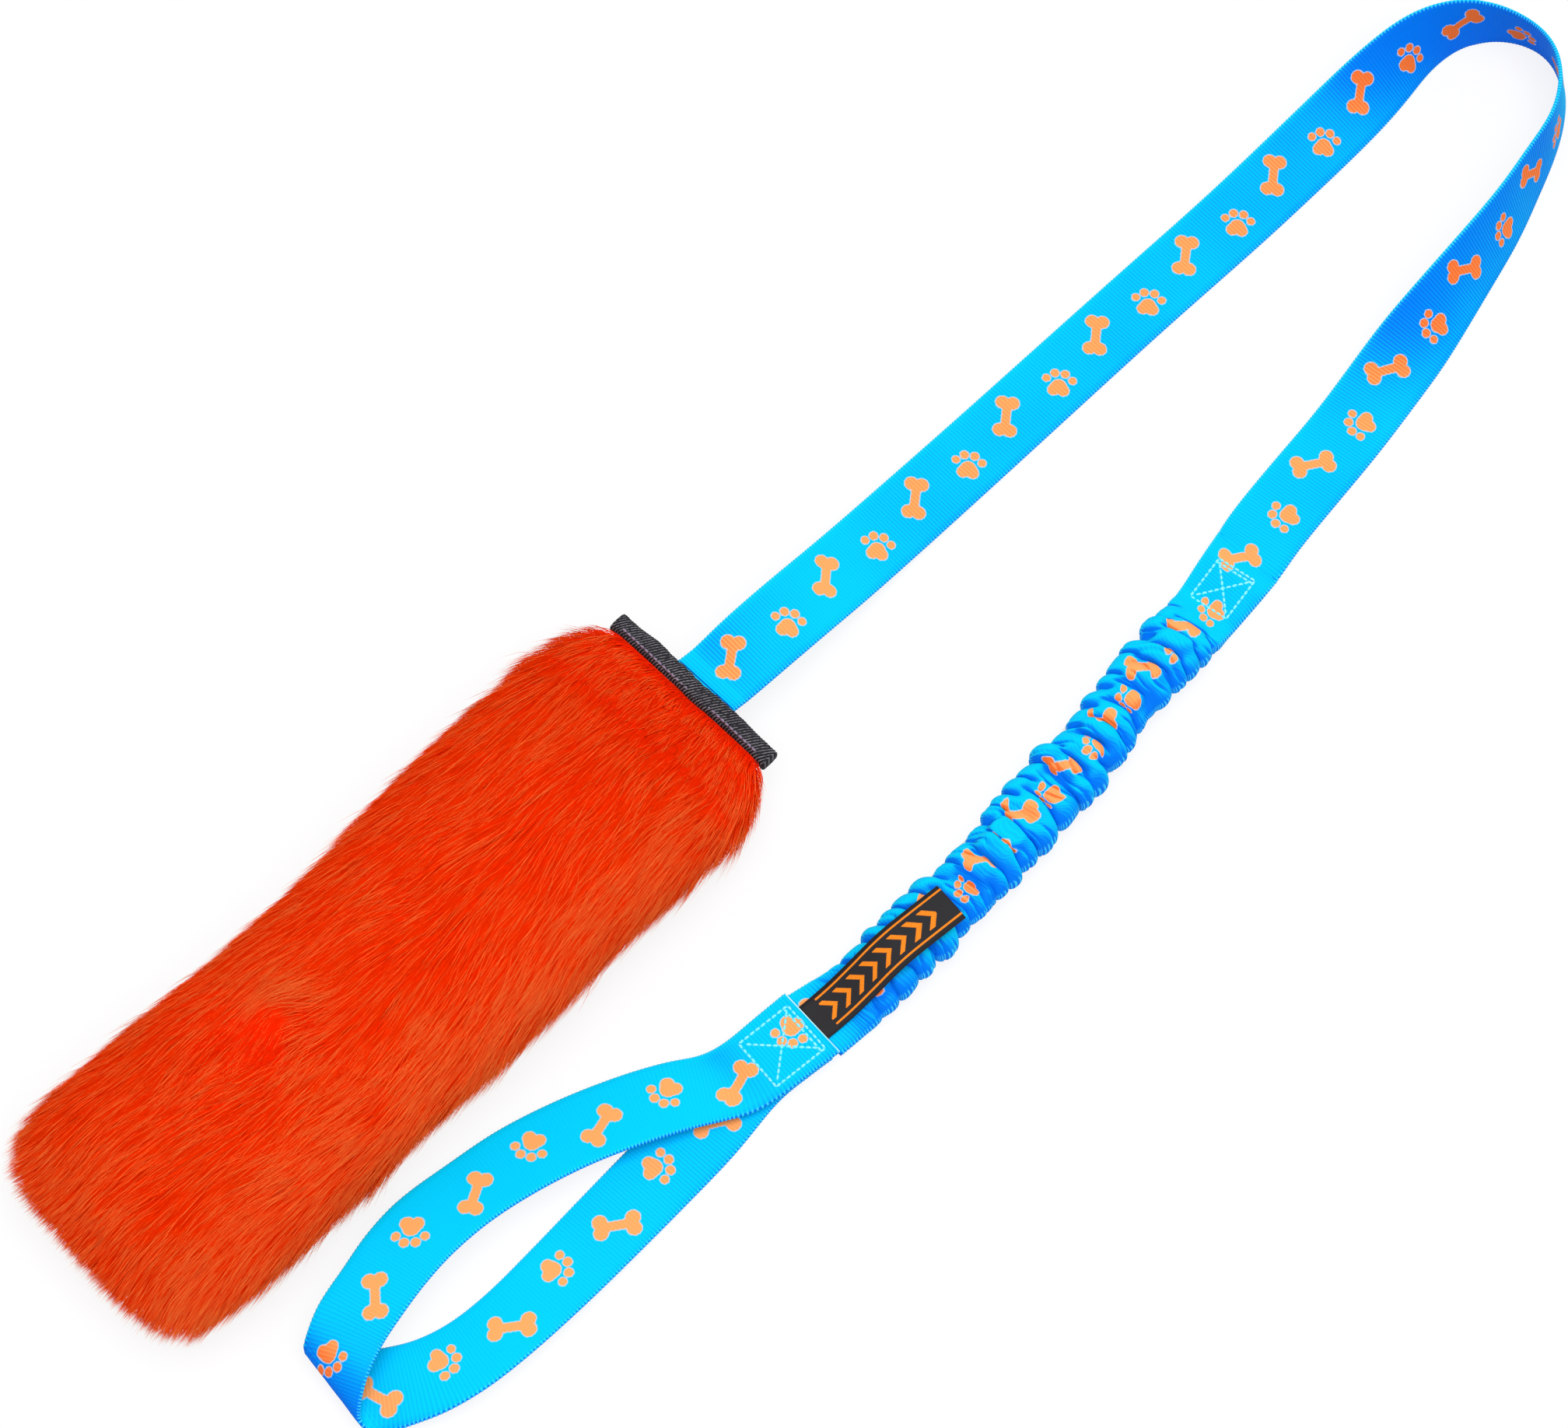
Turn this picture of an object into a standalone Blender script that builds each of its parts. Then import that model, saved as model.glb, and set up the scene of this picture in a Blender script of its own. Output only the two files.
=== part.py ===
"""Dog tug toy: a faux-fur bolster on a printed webbing lead with a bungee section and a handle loop.

The toy lies on a table at z = 0. The bolster and the lead's first stretch run along X; the lead
turns back at high X, so that the bungee and the handle lie beside them at negative Y.
Units are metres, +Z is up.
"""

import math

import bmesh
import bpy
from mathutils import Matrix, Vector

# The tubular webbing that the lead, the bungee sleeve and the handle are made of
WEBBING_WIDTH = 0.025
WEBBING_THICKNESS = 0.0014
WEBBING_WALL = 0.0007
FIT_GAP = 0.0003

# The line where the lead bends at the toy's mouth, and the room that the bend needs
HINGE_X = 0.051
HINGE_Y = 0.0389
HINGE_Z = 0.014
HINGE_CLEARANCE = 0.001
STRAP_Y = 0.0370

# Faux-fur cover, measured over the pile
COVER_LENGTH = 0.250
COVER_WIDTH = 0.085
COVER_HEIGHT = 0.042
COVER_WALL = 0.008
COVER_Y = 0.0332
NECK_WALL = 0.0012
REST_CUT = 0.0005
MOUTH_WIDTH = 0.067
ANCHOR_LENGTH = 0.038
ANCHOR_CLEARANCE = 0.0045

# Tape folded over the rim of the mouth, and its row of thread
TAPE_HEIGHT = 0.007
TAPE_THICKNESS = 0.0005
TAPE_THREAD_LENGTH = 0.050

# Thread of every seam
THREAD_WIDTH = 0.0009
THREAD_HEIGHT = 0.0005

# Grip: the strap's cut end, sewn on top of the strap where the handle starts
CUT_EDGE_X = -0.003
GRIP_Y = -0.0619
GRIP_LENGTH = 0.0245
GRIP_BOX_LENGTH = 0.018
GRIP_BOX_WIDTH = 0.018

# Gathered sleeve with the elastic band inside
SLEEVE_LENGTH = 0.210
SLEEVE_SWAY = 0.0139
SLEEVE_LOW_FLAT = 0.0225
SLEEVE_HIGH_FLAT = 0.0285
RIB_COUNT = 16
RIB_WIDTH = 0.0242
RIB_HEIGHT = 0.0144
RIB_DEPTH = 0.0019
RIB_LEAN = 0.0016
BORE_HEIGHT = 0.008
ELASTIC_WIDTH = 0.018
ELASTIC_THICKNESS = 0.0016
ELASTIC_SETBACK = 0.002
SLEEVE_BOX_LENGTH = 0.017
SLEEVE_BOX_WIDTH = 0.014

# Handle loop, lying over on its side
HANDLE_LENGTH = 0.1545
HANDLE_SPREAD = 0.0334
STRAND_LIFT = 0.0085

# Woven label, held under the cut edge
LABEL_LENGTH = 0.0535
LABEL_WIDTH = 0.0133
LABEL_THICKNESS = 0.0005
LABEL_RISE = 0.0122
LABEL_DRIFT = -0.0052
LABEL_HINGE_GAP = 0.0006

# Route of the lead's centre line: x, y, the height of its lower edge, and its roll in degrees
LEAD_ROUTE = [
    (0.0503, 0.0370, 0.0133, 0),
    (0.0565, 0.0367, 0.0129, 0),
    (0.0701, 0.0362, 0.0129, 8),
    (0.0901, 0.0365, 0.0100, 12),
    (0.1101, 0.0376, 0.0050, 12),
    (0.1350, 0.0387, 0.0015, 10),
    (0.1750, 0.0394, 0.0002, 6),
    (0.2150, 0.0398, 0.0001, 4),
    (0.2550, 0.0400, 0.0001, 3),
    (0.2950, 0.0395, 0.0001, 6),
    (0.3270, 0.0397, 0.0001, 12),
    (0.3530, 0.0399, 0.0001, 22),
    (0.3710, 0.0399, 0.0001, 38),
    (0.3884, 0.0392, 0.0001, 60),
    (0.4036, 0.0335, 0.0001, 83),
    (0.4137, 0.0230, 0.0001, 101),
    (0.4177, 0.0104, 0.0001, 109),
    (0.4134, -0.0010, 0.0001, 106),
    (0.4037, -0.0102, 0.0001, 102),
    (0.3910, -0.0169, 0.0001, 102),
    (0.3754, -0.0215, 0.0001, 109),
    (0.3566, -0.0265, 0.0001, 118),
    (0.3346, -0.0302, 0.0001, 130),
    (0.3131, -0.0333, 0.0001, 147),
    (0.2910, -0.0360, 0.0001, 172),
    (0.2651, -0.0400, 0.0001, 179),
    (0.2400, -0.0429, 0.0002, 178),
    (0.2199, -0.0454, 0.0006, 179),
    (0.2073, -0.0480, 0.0011, 180),
]

# Cover: shares of the length, width and height, and the superellipse power of each section
COVER_SHARES = [
    (0.030, 0.900, 0.420, 3.6),
    (0.075, 0.985, 0.700, 3.0),
    (0.140, 1.010, 0.880, 2.7),
    (0.230, 1.020, 0.970, 2.5),
    (0.350, 1.015, 1.000, 2.5),
    (0.480, 0.990, 1.000, 2.5),
    (0.610, 0.980, 0.985, 2.5),
    (0.730, 0.990, 0.975, 2.5),
    (0.830, 1.005, 0.950, 2.5),
    (0.900, 1.000, 0.890, 2.6),
    (0.950, 0.955, 0.780, 2.6),
    (0.982, 0.860, 0.600, 2.5),
    (1.000, 0.640, 0.340, 2.4),
]
COVER_POWER_AT_MOUTH = 6.0
FILLED_TO_SHARE = 0.950

# Sleeve: shares of its length and of its sway, from the grip to the lead
SLEEVE_ROUTE_SHARES = [
    (0.00, 0.00),
    (0.11, -0.15),
    (0.25, -0.14),
    (0.37, -0.03),
    (0.49, 0.13),
    (0.69, 0.42),
    (0.80, 0.55),
    (0.93, 0.83),
    (1.00, 1.00),
]
SLEEVE_FLAT_POWER = 4.0
SLEEVE_ROUND_POWER = 2.6
RIB_CREST_SHARE = 0.25
RIB_TROUGH_SHARE = 0.75
RIB_UNEVEN_SHARE = 0.10

# Handle: shares of its length, spread and strand lift at the strap's centre line, then the turn
# and the tilt of its cross line in degrees, along the loop
HANDLE_ROUTE_SHARES = [
    (0.000, 0.000, 0.541, 0, 0),
    (0.050, 0.160, 0.575, 10, 7),
    (0.120, 0.373, 0.530, 22, 13),
    (0.213, 0.570, 0.576, 25, 15),
    (0.318, 0.760, 0.682, 19, 16),
    (0.433, 0.909, 0.806, 13, 15),
    (0.543, 0.990, 0.924, 8, 15),
    (0.647, 1.021, 1.076, 1, 12),
    (0.731, 0.984, 1.176, -4, 9),
    (0.807, 0.904, 1.259, -7, 7),
    (0.878, 0.820, 1.294, -9, 5),
    (0.936, 0.708, 1.176, -4, 4),
    (0.975, 0.591, 0.729, 4, 1),
    (0.971, 0.485, 0.330, 10, 1),
    (0.940, 0.350, 0.206, 17, 3),
    (0.891, 0.200, 0.288, 20, 7),
    (0.830, 0.060, 0.371, 19, 10),
    (0.752, -0.043, 0.406, 14, 12),
    (0.655, -0.081, 0.382, 9, 11),
    (0.532, -0.073, 0.276, 5, 7),
    (0.406, -0.049, 0.185, 2, 3),
    (0.273, -0.025, 0.120, 0, 1),
    (0.131, -0.006, 0.094, 0, 0),
    (0.000, 0.000, 0.094, 0, 0),
]

# Label: shares of its run, rise and sideways drift
LABEL_ROUTE_SHARES = [
    (0.00, 0.00, 0.00),
    (0.09, 0.01, 0.09),
    (0.22, 0.15, 0.22),
    (0.36, 0.44, 0.36),
    (0.50, 0.78, 0.50),
    (0.63, 0.95, 0.63),
    (0.80, 1.00, 0.80),
    (1.00, 1.02, 1.00),
]

ROUND_POINTS = 32
SLEEVE_POINTS = 24
ROUTE_STEPS = 3
SMOOTH_BELOW_DEG = 40

# Radians from rib to rib, by which the ribs' size and lean wander
RIB_SIZE_TURN = 2.4
RIB_LEAN_TURN = 1.7

# Places that follow from the sizes above
TOY_EDGE_X = HINGE_X - HINGE_CLEARANCE
LEAD_START_X = TOY_EDGE_X + FIT_GAP
SLOT_HALF_HEIGHT = WEBBING_THICKNESS / 2 + FIT_GAP
TAPE_BUILD = 2 * TAPE_THICKNESS + 2 * FIT_GAP + NECK_WALL
SLOT_HALF_WIDTH = MOUTH_WIDTH / 2 - TAPE_BUILD
MOUTH_HALF_HEIGHT = SLOT_HALF_HEIGHT + TAPE_BUILD
FILLED_FROM_SHARE = (ANCHOR_LENGTH + ANCHOR_CLEARANCE - TAPE_HEIGHT) / COVER_LENGTH
FLAT_HALF_HEIGHT = ELASTIC_THICKNESS / 2 + FIT_GAP + WEBBING_WALL
GRIP_FLOOR_Z = 2 * FLAT_HALF_HEIGHT + FIT_GAP
GRIP_TOP_Z = GRIP_FLOOR_Z + WEBBING_THICKNESS
GRIP_END_X = CUT_EDGE_X - GRIP_LENGTH
HANDLE_START_X = GRIP_END_X - FIT_GAP
SLEEVE_HIGH_X = CUT_EDGE_X + SLEEVE_LENGTH
LABEL_HINGE_X = CUT_EDGE_X + LABEL_HINGE_GAP
LABEL_Z = GRIP_FLOOR_Z + LABEL_THICKNESS / 2


def material(name, colour, roughness):
    """A plain Principled material."""
    made = bpy.data.materials.new(name)
    made.use_nodes = True
    shader = made.node_tree.nodes["Principled BSDF"]
    shader.inputs["Base Color"].default_value = (*colour, 1.0)
    shader.inputs["Roughness"].default_value = roughness
    shader.inputs["Metallic"].default_value = 0.0
    return made


def pivot(name, place, parent=None):
    """An empty on a joint's axis, which carries the pieces that move with it."""
    empty = bpy.data.objects.new(name, None)
    bpy.context.scene.collection.objects.link(empty)
    empty.location = Vector(place) - (parent.matrix_world.translation if parent else Vector())
    empty.parent = parent
    bpy.context.view_layer.update()
    return empty


def add_object(name, mesh, finish, carrier):
    """Put a mesh that is written in table coordinates under its carrier."""
    origin = carrier.matrix_world.translation
    for vertex in mesh.vertices:
        vertex.co -= origin
    mesh.materials.append(finish)
    made = bpy.data.objects.new(name, mesh)
    made.parent = carrier
    bpy.context.scene.collection.objects.link(made)
    return made


def loft(name, rings, finish, carrier, looped=False, smooth=True):
    """Bridge rings of points in order; cap both ends, or join the last ring to the first."""
    shape = bmesh.new()
    rows = [[shape.verts.new(point) for point in ring] for ring in rings]
    pairs = list(zip(rows, rows[1:]))
    if looped:
        pairs.append((rows[-1], rows[0]))
    else:
        shape.faces.new(rows[0])
        shape.faces.new(rows[-1])
    count = len(rings[0])
    for near, far in pairs:
        for i in range(count):
            j = (i + 1) % count
            shape.faces.new((near[i], near[j], far[j], far[i]))
    bmesh.ops.recalc_face_normals(shape, faces=shape.faces)
    mesh = bpy.data.meshes.new(name)
    shape.to_mesh(mesh)
    shape.free()
    if smooth:
        mesh.shade_smooth()
        mesh.set_sharp_from_angle(angle=math.radians(SMOOTH_BELOW_DEG))
    return add_object(name, mesh, finish, carrier)


def block(name, low, high, finish, carrier):
    """A box between two corners."""
    rings = [
        [
            Vector((x, low[1], low[2])),
            Vector((x, high[1], low[2])),
            Vector((x, high[1], high[2])),
            Vector((x, low[1], high[2])),
        ]
        for x in (low[0], high[0])
    ]
    return loft(name, rings, finish, carrier, smooth=False)


def smooth_rows(rows, steps):
    """A Catmull-Rom curve through rows of numbers."""
    rows = [Vector(row) for row in rows]
    padded = [2 * rows[0] - rows[1], *rows, 2 * rows[-1] - rows[-2]]
    curve = []
    for a, b, c, d in zip(padded, padded[1:], padded[2:], padded[3:]):
        for step in range(steps):
            t = step / steps
            curve.append(
                0.5 * (2 * b + (c - a) * t + (2 * a - 5 * b + 4 * c - d) * t**2
                       + (3 * b - a - 3 * c + d) * t**3)
            )
    curve.append(rows[-1])
    return curve


def run_directions(centres):
    """The way a strap runs at each of its centres; both of its ends lie along X."""
    last = len(centres) - 1
    runs = []
    for i in range(last + 1):
        run = (centres[min(i + 1, last)] - centres[max(i - 1, 0)]).normalized()
        runs.append(Vector((round(run.x), 0, 0)) if i in (0, last) else run)
    return runs


def flat_sections(centres, cross_lines, width, thickness):
    """Sections of a flat strap, each drawn out both ways along its cross line."""
    rings = []
    for centre, run, cross_line in zip(centres, run_directions(centres), cross_lines):
        across = cross_line * width / 2
        outward = run.cross(cross_line).normalized() * thickness / 2
        rings.append([
            centre - across - outward,
            centre + across - outward,
            centre + across + outward,
            centre - across + outward,
        ])
    return rings


def rolled_strap(rows, width, thickness):
    """A strap along rows of x, y, the height of its lower edge, and its roll in degrees."""
    curve = smooth_rows(rows, ROUTE_STEPS)
    rolls = [math.radians(row[3]) for row in curve]
    centres = [
        Vector((x, y, low + width / 2 * abs(math.sin(roll)) + thickness / 2 * abs(math.cos(roll))))
        for (x, y, low, _), roll in zip(curve, rolls)
    ]
    cross_lines = []
    for run, roll in zip(run_directions(centres), rolls):
        left = Vector((-run.y, run.x, 0)).normalized()
        cross_lines.append(left * math.cos(roll) + run.cross(left) * math.sin(roll))
    return flat_sections(centres, cross_lines, width, thickness)


def turned_strap(rows, width, thickness):
    """A strap along rows of centre x, y, z, and its cross line's turn from -Y and tilt, in degrees."""
    curve = smooth_rows(rows, ROUTE_STEPS)
    centres = [Vector(row[:3]) for row in curve]
    cross_lines = []
    for row in curve:
        turn, tilt = math.radians(row[3]), math.radians(row[4])
        level = math.cos(tilt)
        cross_lines.append(
            Vector((-level * math.sin(turn), -level * math.cos(turn), math.sin(tilt)))
        )
    return flat_sections(centres, cross_lines, width, thickness)


def oval(x, centre_y, centre_z, half_width, half_height, power, count):
    """A superellipse section across X; what would reach below the table is cut flat."""
    ring = []
    for i in range(count):
        angle = 2 * math.pi * i / count
        c, s = math.cos(angle), math.sin(angle)
        y = math.copysign(abs(c) ** (2 / power), c) * half_width
        z = math.copysign(abs(s) ** (2 / power), s) * half_height
        ring.append(Vector((x, centre_y + y, max(0.0, centre_z + z))))
    return ring


def cover_section(along_share, inset, count):
    """A section of the bolster, drawn in by an inset from the pile's outside."""
    table = [(0.0, MOUTH_WIDTH / COVER_WIDTH, 2 * MOUTH_HALF_HEIGHT / COVER_HEIGHT,
              COVER_POWER_AT_MOUTH), *COVER_SHARES]
    for near, far in zip(table, table[1:]):
        if along_share <= far[0]:
            break
    mix = (along_share - near[0]) / (far[0] - near[0])
    width_share, height_share, power = (n + (f - n) * mix for n, f in zip(near[1:], far[1:]))
    half_width = COVER_WIDTH * width_share / 2
    half_height = COVER_HEIGHT * height_share / 2
    settle = min(1.0, along_share / COVER_SHARES[2][0])
    centre_y = HINGE_Y + (COVER_Y - HINGE_Y) * settle
    centre_z = max(HINGE_Z, half_height - REST_CUT)
    x = TOY_EDGE_X - TAPE_HEIGHT - COVER_LENGTH * along_share
    return oval(x, centre_y, centre_z, half_width - inset, half_height - inset, power, count)


def mouth_ring(x, offset):
    """A section at the mouth, where offset counts outward from the slot for the strap."""
    return oval(x, HINGE_Y, HINGE_Z, SLOT_HALF_WIDTH + offset, SLOT_HALF_HEIGHT + offset,
                COVER_POWER_AT_MOUTH, ROUND_POINTS)


def filled_shares():
    """Shares of the length where the filling has a section."""
    rows = [row[0] for row in COVER_SHARES]
    return [FILLED_FROM_SHARE] + [s for s in rows if FILLED_FROM_SHARE < s < FILLED_TO_SHARE]


def make_cover(finish, carrier):
    """The fur tube: a thin neck inside the tape, then the thick pile, closed at the tail."""
    neck_inside = TAPE_THICKNESS + FIT_GAP
    neck_outside = neck_inside + NECK_WALL
    rim_x = TOY_EDGE_X - TAPE_THICKNESS - FIT_GAP
    neck_x = TOY_EDGE_X - TAPE_HEIGHT - FIT_GAP
    shares = [row[0] for row in COVER_SHARES]
    inner = filled_shares() + [FILLED_TO_SHARE]
    rings = [cover_section(share, COVER_WALL, ROUND_POINTS) for share in reversed(inner)]
    rings.append(mouth_ring(neck_x, neck_inside))
    rings.append(mouth_ring(rim_x, neck_inside))
    rings.append(mouth_ring(rim_x, neck_outside))
    rings.append(mouth_ring(neck_x, neck_outside))
    rings.extend(cover_section(share, 0.0, ROUND_POINTS) for share in shares)
    return loft("fur_cover", rings, finish, carrier)


def make_filling(finish, carrier):
    """The fibre filling, a loose fit inside the cover."""
    rings = [cover_section(share, COVER_WALL + FIT_GAP, ROUND_POINTS)
             for share in filled_shares()]
    return loft("fibre_filling", rings, finish, carrier)


def make_tape(finish, carrier):
    """Grosgrain tape folded over the rim: a U section led once round the mouth."""
    back_x = TOY_EDGE_X - TAPE_HEIGHT
    fold_x = TOY_EDGE_X - TAPE_THICKNESS
    outside = TAPE_BUILD
    outer_layer = outside - TAPE_THICKNESS
    profile = [
        (back_x, 0.0),
        (TOY_EDGE_X, 0.0),
        (TOY_EDGE_X, outside),
        (back_x, outside),
        (back_x, outer_layer),
        (fold_x, outer_layer),
        (fold_x, TAPE_THICKNESS),
        (back_x, TAPE_THICKNESS),
    ]
    rings = [mouth_ring(x, offset) for x, offset in profile]
    return loft("binding_tape", rings, finish, carrier, looped=True)


def make_tape_threads(finish, carrier):
    """One row of thread on each side of the mouth, near the tape's fur-side edge."""
    middle_x = TOY_EDGE_X - TAPE_HEIGHT * 3 / 4
    near = MOUTH_HALF_HEIGHT + FIT_GAP
    far = near + THREAD_HEIGHT
    sides = {"tape_thread_top": (near, far), "tape_thread_under": (-far, -near)}
    for name, (low, high) in sides.items():
        block(
            name,
            (middle_x - THREAD_WIDTH / 2, HINGE_Y - TAPE_THREAD_LENGTH / 2, HINGE_Z + low),
            (middle_x + THREAD_WIDTH / 2, HINGE_Y + TAPE_THREAD_LENGTH / 2, HINGE_Z + high),
            finish,
            carrier,
        )


def make_anchor(finish, carrier):
    """The lead's end, sewn between the two walls of the mouth."""
    block(
        "strap_anchor",
        (TOY_EDGE_X - ANCHOR_LENGTH, STRAP_Y - WEBBING_WIDTH / 2, HINGE_Z - WEBBING_THICKNESS / 2),
        (TOY_EDGE_X, STRAP_Y + WEBBING_WIDTH / 2, HINGE_Z + WEBBING_THICKNESS / 2),
        finish,
        carrier,
    )


def make_lead(finish, carrier):
    """The lead from the toy's mouth, round the bend, to the sleeve."""
    first, last = LEAD_ROUTE[0], LEAD_ROUTE[-1]
    ends_pinned = [
        (LEAD_START_X, STRAP_Y, HINGE_Z - WEBBING_THICKNESS / 2, first[3]),
        *LEAD_ROUTE[1:-1],
        (SLEEVE_HIGH_X + FIT_GAP, GRIP_Y + SLEEVE_SWAY, FLAT_HALF_HEIGHT - WEBBING_THICKNESS / 2,
         last[3]),
    ]
    rings = rolled_strap(ends_pinned, WEBBING_WIDTH, WEBBING_THICKNESS)
    return loft("lead_strap", rings, finish, carrier)


def sleeve_centre_y(x):
    """The sleeve's sideways place at x, on a smooth line through its route."""
    share = (x - CUT_EDGE_X) / SLEEVE_LENGTH
    rows = smooth_rows([(along, across, 0) for along, across in SLEEVE_ROUTE_SHARES], ROUTE_STEPS)
    for near, far in zip(rows, rows[1:]):
        if share <= far[0]:
            break
    mix = (share - near[0]) / (far[0] - near[0])
    return GRIP_Y + SLEEVE_SWAY * (near[1] + (far[1] - near[1]) * mix)


def sleeve_stations():
    """x, gather from 0 to 1, and rib swell from 0 to 1, from the grip to the lead."""
    low_x, high_x = CUT_EDGE_X + SLEEVE_LOW_FLAT, SLEEVE_HIGH_X - SLEEVE_HIGH_FLAT
    pitch = (high_x - low_x) / RIB_COUNT
    stations = [(CUT_EDGE_X, 0.0, 0.0), (low_x - pitch / 2, 0.0, 0.0)]
    for rib in range(RIB_COUNT):
        gather = min(1.0, (rib + 1) / 2, (RIB_COUNT - rib) / 2)
        swell = 1 - RIB_UNEVEN_SHARE * (1 + math.sin(RIB_SIZE_TURN * rib))
        stations.append((low_x + pitch * (rib + RIB_CREST_SHARE), gather, swell))
        stations.append((low_x + pitch * (rib + RIB_TROUGH_SHARE), gather, 0.0))
    stations += [(high_x + pitch / 2, 0.0, 0.0), (SLEEVE_HIGH_X, 0.0, 0.0)]
    return stations


def sleeve_centre_z(gather):
    """Height of the sleeve's middle, from its flat ends to its gathered stretch."""
    return FLAT_HALF_HEIGHT + (RIB_HEIGHT / 2 - REST_CUT - FLAT_HALF_HEIGHT) * gather


def core_stations():
    """x, centre y, centre z and half height of the bore, where the elastic follows the sleeve."""
    stations = sleeve_stations()
    rows = []
    for number, (x, gather, _) in enumerate(stations):
        if gather == 0 or number % 4 == 0:
            half_height = ELASTIC_THICKNESS / 2 + FIT_GAP
            half_height += (BORE_HEIGHT / 2 - half_height) * gather
            rows.append((x, sleeve_centre_y(x), sleeve_centre_z(gather), half_height))
    return rows


def make_sleeve(finish, carrier):
    """The gathered sleeve, a ribbed tube with flat ends and the elastic's bore."""
    outer = []
    for number, (x, gather, swell) in enumerate(sleeve_stations()):
        centre_y, centre_z = sleeve_centre_y(x), sleeve_centre_z(gather)
        drawn_in = RIB_DEPTH * (1 - swell) * gather
        half_width = (WEBBING_WIDTH + (RIB_WIDTH - WEBBING_WIDTH) * gather) / 2 - drawn_in
        half_height = FLAT_HALF_HEIGHT + (RIB_HEIGHT / 2 - FLAT_HALF_HEIGHT) * gather - drawn_in
        power = SLEEVE_FLAT_POWER + (SLEEVE_ROUND_POWER - SLEEVE_FLAT_POWER) * gather
        ring = oval(x, centre_y, centre_z, half_width, half_height, power, SLEEVE_POINTS)
        lean = RIB_LEAN * gather * math.sin(RIB_LEAN_TURN * (number // 2))
        for point in ring:
            point.x += lean * (point.y - centre_y) / half_width
        outer.append(ring)
    bore = [oval(x, y, z, ELASTIC_WIDTH / 2 + FIT_GAP, half_height, SLEEVE_FLAT_POWER,
                 SLEEVE_POINTS) for x, y, z, half_height in core_stations()]
    return loft("bungee_sleeve", outer + bore[::-1], finish, carrier, looped=True)


def make_elastic(finish, carrier):
    """The elastic band, from inside the grip's base to just short of the lead."""
    rows = core_stations()
    (near_x, near_y, z, _), (far_x, far_y, _, _) = rows[-2:]
    last_x = far_x - ELASTIC_SETBACK
    last_y = near_y + (far_y - near_y) * (last_x - near_x) / (far_x - near_x)
    places = [(GRIP_END_X + ELASTIC_SETBACK, GRIP_Y, z)]
    places += [row[:3] for row in rows[:-1]]
    places.append((last_x, last_y, z))
    rings = [oval(x, y, z, ELASTIC_WIDTH / 2, ELASTIC_THICKNESS / 2, SLEEVE_FLAT_POWER,
                  SLEEVE_POINTS) for x, y, z in places]
    return loft("elastic_band", rings, finish, carrier)


def make_grip(finish, carrier):
    """The tubular base under the box stitch, and the cut strap end sewn on top of it."""
    base_x = (GRIP_END_X, CUT_EDGE_X - FIT_GAP)
    outer = [oval(x, GRIP_Y, FLAT_HALF_HEIGHT, WEBBING_WIDTH / 2, FLAT_HALF_HEIGHT,
                  SLEEVE_FLAT_POWER, SLEEVE_POINTS) for x in base_x]
    bore = [oval(x, GRIP_Y, FLAT_HALF_HEIGHT, ELASTIC_WIDTH / 2 + FIT_GAP,
                 ELASTIC_THICKNESS / 2 + FIT_GAP, SLEEVE_FLAT_POWER, SLEEVE_POINTS)
            for x in reversed(base_x)]
    loft("grip_base", outer + bore, finish, carrier, looped=True)
    block(
        "strap_end",
        (GRIP_END_X, GRIP_Y - WEBBING_WIDTH / 2, GRIP_FLOOR_Z),
        (CUT_EDGE_X, GRIP_Y + WEBBING_WIDTH / 2, GRIP_TOP_Z),
        finish,
        carrier,
    )


def prisms(name, outlines, centre, angle, height, finish, carrier):
    """Flat outlines given about a centre, turned about Z and extruded both ways."""
    turn = Matrix.Rotation(angle, 3, "Z")
    shape = bmesh.new()
    for outline in outlines:
        low, high = (
            [shape.verts.new(centre + turn @ Vector((x, y, z))) for x, y in outline]
            for z in (-height / 2, height / 2)
        )
        shape.faces.new(low[::-1])
        shape.faces.new(high)
        for i in range(len(outline)):
            j = (i + 1) % len(outline)
            shape.faces.new((low[i], low[j], high[j], high[i]))
    mesh = bpy.data.meshes.new(name)
    shape.to_mesh(mesh)
    shape.free()
    return add_object(name, mesh, finish, carrier)


def box_stitch(name, centre, angle, length, width, finish, carrier):
    """Thread sewn as a box with a cross: a plate with four triangular windows cut out."""
    half_x, half_y = length / 2, width / 2
    frame = [(-half_x, -half_y), (half_x, -half_y), (half_x, half_y), (-half_x, half_y)]
    inner_x, inner_y = half_x - THREAD_WIDTH, half_y - THREAD_WIDTH
    diagonal = math.hypot(inner_x, inner_y)
    tip_x = THREAD_WIDTH / 2 * diagonal / inner_y
    tip_y = THREAD_WIDTH / 2 * diagonal / inner_x
    windows = [
        [(tip_x - inner_x, -inner_y), (inner_x - tip_x, -inner_y), (0, -tip_y)],
        [(inner_x, tip_y - inner_y), (inner_x, inner_y - tip_y), (tip_x, 0)],
        [(inner_x - tip_x, inner_y), (tip_x - inner_x, inner_y), (0, tip_y)],
        [(-inner_x, inner_y - tip_y), (-inner_x, tip_y - inner_y), (-tip_x, 0)],
    ]
    plate = prisms(name, [frame], centre, angle, THREAD_HEIGHT, finish, carrier)
    cutter = prisms(name + "_windows", windows, centre, angle, 2 * THREAD_HEIGHT, finish, carrier)
    cutter.hide_render = True
    cutter.display_type = "WIRE"
    cut = plate.modifiers.new("windows", "BOOLEAN")
    cut.object = cutter
    cut.operation = "DIFFERENCE"
    cut.solver = "EXACT"


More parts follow.
